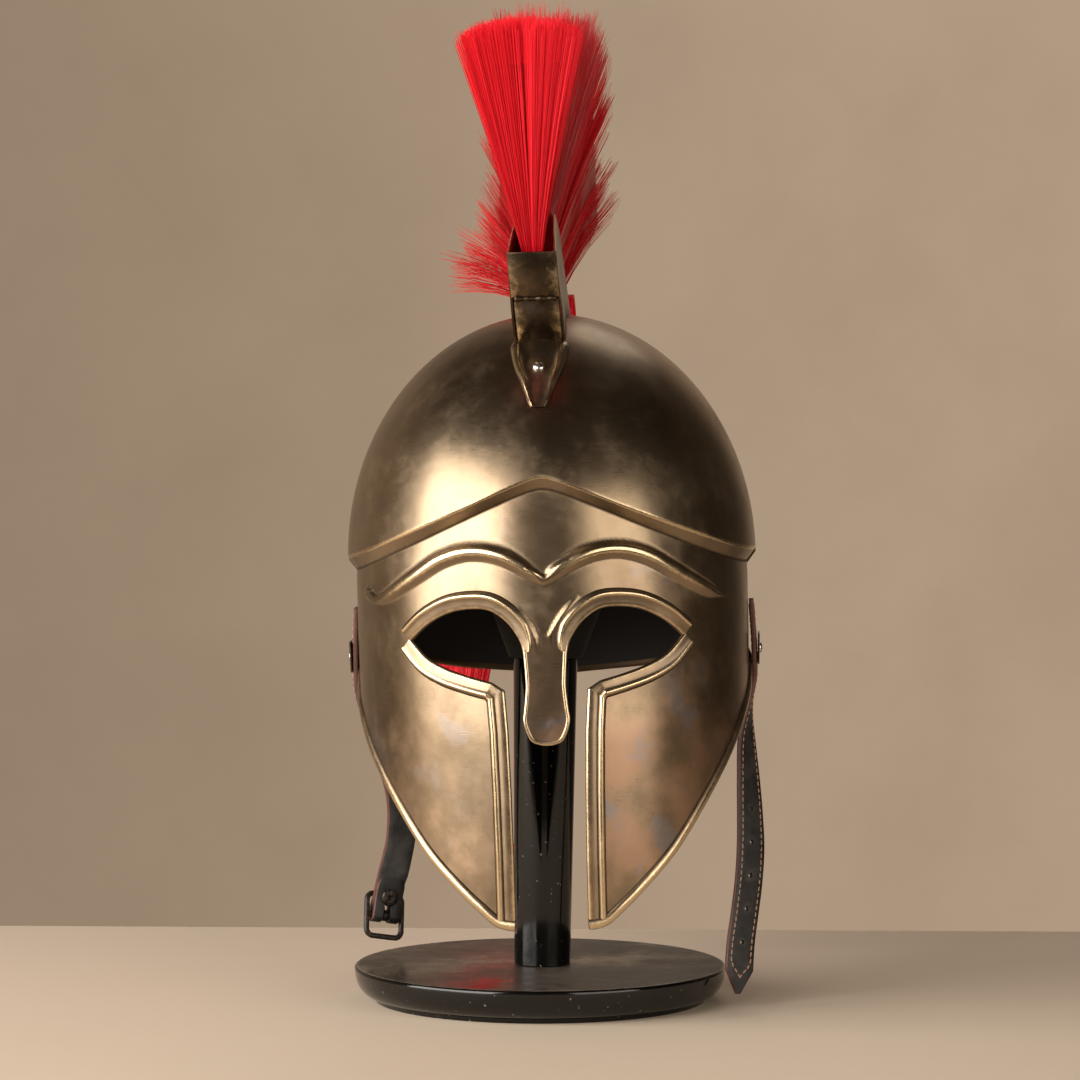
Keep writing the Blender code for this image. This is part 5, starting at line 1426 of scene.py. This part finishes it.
left_places = np.linspace(0, left_length - FOLD_LENGTH * 1.1, 56)
left_band = [strap_at(left_frames, place) for place in left_places]
left_widths = [STRAP_WIDTH] * len(left_band)
side_path = np.array(side_path)
side_ways = np.gradient(side_path, axis=0)
for i, ((y, z), (dy, dz)) in enumerate(zip(side_path, side_ways)):
    down = (bar_away * dy - bar_down * dz).normalized()
    left_band.append((BAR_MATRIX @ Vector((0, y, z)), down, bar_width, down.cross(bar_width)))
    left_widths.append(FOLD_WIDTH * (0.55 if i == len(side_path) - 1 else 0.86 if i == len(side_path) - 2 else 1.0))
left_mesh = leather_band("short_strap", left_band, left_widths)
slot_half, slot_reach = FOLD_SLOT / 2, (bend + STRAP_THICKNESS) * 1.3
slot_box = [[(x, y, z) for x, y in ((-slot_half, -slot_reach), (slot_half, -slot_reach), (slot_half, slot_reach),
                                    (-slot_half, slot_reach))] for z in (-slot_reach, 0.0077)]
left_mesh = cut_by(left_mesh, through_rings("slot", slot_box, BAR_MATRIX))
mark_band(left_mesh, left_band, left_widths, 1)
fit("short_strap", left_mesh, leather, "black_leather", "strap_left", sharp=50)
fit("short_strap_stitches", grown("short_strap_stitches", stitches, stitch_lines(
    left_frames, 0.004, left_length - FOLD_LENGTH * 1.15, (-1,)), **stitch_sizes), None, "black_leather")

PLATE_HEIGHT = 0.017
PLATE_WIDTH = 0.020
PLATE_THICKNESS = 0.001
PLATE_RIVET_DIAMETER = 0.006
for side, word in ((1, "right"), (-1, "left")):
    level = -STRAP_EDGE_DROP + PLATE_HEIGHT / 2
    share = (STRAP_EDGE_DROP + level) / (STRAP_EDGE_DROP - STRAP_TOP_DROP)
    gap = (BORDER_HEIGHT + CLEARANCE * 2) * (1 - share * 0.5)
    x = side * ear_side(level, gap + STRAP_THICKNESS + CLEARANCE * 2 + PLATE_THICKNESS / 2)
    plate_matrix = facing((x, STRAP_BACK, level), (side, 0, -0.03))
    rings = []
    for inset, z in ((0.0004, -0.5), (0.0, -0.25), (0.0, 0.25), (0.0005, 0.5)):
        ring = []
        for cx, cy, start in ((1, 1, 0), (-1, 1, 90), (-1, -1, 180), (1, -1, 270)):
            for k in range(5):
                t = math.radians(start + 22.5 * k)
                ring.append((cx * (PLATE_WIDTH / 2 - 0.0015) + (0.0015 - inset) * math.cos(t),
                             cy * (PLATE_HEIGHT / 2 - 0.0015) + (0.0015 - inset) * math.sin(t), z * PLATE_THICKNESS))
        rings.append(ring)
    marks = [[(0.6 if row == 3 else 0.3, 0.2, 0.2)] * 20 for row in range(4)]
    fit(f"ear_plate_{word}", marked("ear_plate", rings, marks, HELMET_MATRIX @ plate_matrix), holder_bronze,
        "dark_bronze", f"strap_plate_{word}", sharp=40)
    seat = Matrix.Translation((0, 0, PLATE_THICKNESS / 2 + CLEARANCE * 0.5))
    fit(f"ear_rivet_{word}", rivet_head("ear_rivet", PLATE_RIVET_DIAMETER, 0.0014, HELMET_MATRIX @ plate_matrix @ seat),
        silver, "dark_bronze", f"strap_rivet_{word}")


# The buckle: black painted wire bent to a frame round a bar, with a pointed prong that swings on
# the bar in the strap's slot. A tubular rivet with a rolled head closes the strap's fold. Brown
# wear shows through the paint.

BUCKLE_WIDTH = 0.0245
BUCKLE_HEIGHT = 0.027
BUCKLE_CORNER = 0.004
BUCKLE_WIRE = 0.0031
BUCKLE_TILT = math.radians(22)
FOLD_RIVET_DIAMETER = 0.010
FOLD_RIVET_RISE = 0.0107
TONGUE_WIDTH = 0.0034
TONGUE_WIRE = 0.0016


def rod(name, path, radii, sides=14, joined=False):
    """Round bar along a path that lies in a plane across X, or along X."""
    path = np.array(path, float)
    ways = (np.roll(path, -1, 0) - np.roll(path, 1, 0)) if joined else np.gradient(path, axis=0)
    rings = []
    for place, way, radius in zip(path, ways, radii):
        way = way / np.linalg.norm(way)
        guide = np.array((0.0, math.cos(BUCKLE_TILT), -math.sin(BUCKLE_TILT))) if joined else \
            np.array((1.0, 0.0, 0.0)) if abs(way[0]) < 0.9 else np.array((0.0, 0.0, 1.0))
        side = np.cross(way, guide)
        side /= np.linalg.norm(side)
        other = np.cross(side, way)
        rings.append([place + radius * (side * math.cos(t) + other * math.sin(t))
                      for t in np.linspace(0, math.tau, sides + 1)[:-1]])
    return through_rings(name, rings, BAR_MATRIX, joined)


black_metal = Finish("black_buckle")
buckle_wear = black_metal.noise(700.0, 4, 0.65)
buckle_spot = black_metal.noise(2400.0, 3, 0.6)
worn_share = black_metal.limited((buckle_wear * 0.6 + buckle_spot * 0.5 - 0.59) * 14.0, 0.0, 1.0)
black_metal.relief(buckle_spot, 0.25, 0.0002)
black_metal.dress(base_color=black_metal.mixed(worn_share, (0.012, 0.011, 0.010), (0.16, 0.085, 0.04)),
                  metallic=0.35, roughness=0.30 + buckle_wear * 0.22)

half_w = (BUCKLE_WIDTH - BUCKLE_WIRE) / 2
half_h = (BUCKLE_HEIGHT - BUCKLE_WIRE) / 2
lean = Matrix.Rotation(-BUCKLE_TILT, 4, "X")
loop = []
for x, z, start in ((half_w, half_h, 0), (-half_w, half_h, 90), (-half_w, -half_h, 180), (half_w, -half_h, 270)):
    for k in range(9):
        t = math.radians(start + 11.25 * k)
        loop.append(lean @ Vector((x - math.copysign(BUCKLE_CORNER, x) + BUCKLE_CORNER * math.cos(t), 0,
                                   z - math.copysign(BUCKLE_CORNER, z) + BUCKLE_CORNER * math.sin(t))))
frame_parts = [rod("loop", loop, [BUCKLE_WIRE / 2] * len(loop), 16, True),
               rod("bar", [(x, 0, 0) for x in np.linspace(-half_w, half_w, 5)], [BUCKLE_BAR / 2] * 5, 16)]
fit("buckle_loop", merged("buckle_loop", frame_parts), black_metal, "black_metal", "buckle_frame", body="buckle",
    sharp=50)

tongue_hug = BUCKLE_BAR / 2 + CLEARANCE * 1.2
collar = []
for radius, half in ((tongue_hug, 0.9), (tongue_hug + TONGUE_WIRE * 0.12, 1.0), (tongue_hug + TONGUE_WIRE * 0.8, 1.0),
                     (tongue_hug + TONGUE_WIRE, 0.75), (tongue_hug + TONGUE_WIRE, -0.75),
                     (tongue_hug + TONGUE_WIRE * 0.8, -1.0), (tongue_hug + TONGUE_WIRE * 0.12, -1.0), (tongue_hug, -0.9)):
    collar.append([(half * TONGUE_WIDTH / 2, radius * math.cos(t), radius * math.sin(t))
                   for t in np.linspace(0, math.tau, 33)[:-1]])
rest = BUCKLE_WIRE / 2 + CLEARANCE * 1.5 + TONGUE_WIRE / 2
prong_angle = BUCKLE_TILT + math.asin(rest / half_h)
prong_way = np.array((0.0, math.sin(prong_angle), math.cos(prong_angle)))
prong_reach = half_h + BUCKLE_WIRE * 0.6
prong = [prong_way * ((tongue_hug + TONGUE_WIRE * 0.35) * (1 - s) + prong_reach * s) for s in np.linspace(0, 1, 9)]
prong_radii = [TONGUE_WIRE / 2 * (1.0 if s < 0.6 else 1.0 - (s - 0.6) * 1.55) for s in np.linspace(0, 1, 9)]
fit("buckle_prong", merged("buckle_prong", [through_rings("collar", collar, BAR_MATRIX, True),
                                            rod("prong", prong, prong_radii, 14)]),
    black_metal, "black_metal", "buckle_tongue", body="tongue", sharp=50)

rivet_radius, rivet_height = FOLD_RIVET_DIAMETER / 2, 0.0014
rivet_seat = -STRAP_THICKNESS * 1.02 - CLEARANCE
rivet_profile = [(0.0001, rivet_height * 0.35), (rivet_radius * 0.16, rivet_height * 0.38),
                 (rivet_radius * 0.26, rivet_height * 0.95), (rivet_radius * 0.36, rivet_height * 1.05),
                 (rivet_radius * 0.62, rivet_height), (rivet_radius * 0.86, rivet_height * 0.78),
                 (rivet_radius * 0.97, rivet_height * 0.42), (rivet_radius, rivet_height * 0.1), (rivet_radius, 0.0),
                 (0.0001, 0.0)]
fit("fold_rivet_head", turned("fold_rivet_head", rivet_profile,
                              BAR_MATRIX @ facing((0, rivet_seat, FOLD_RIVET_RISE), (0, -1, 0)), 40),
    black_metal, "black_metal", "fold_rivet", sharp=60)
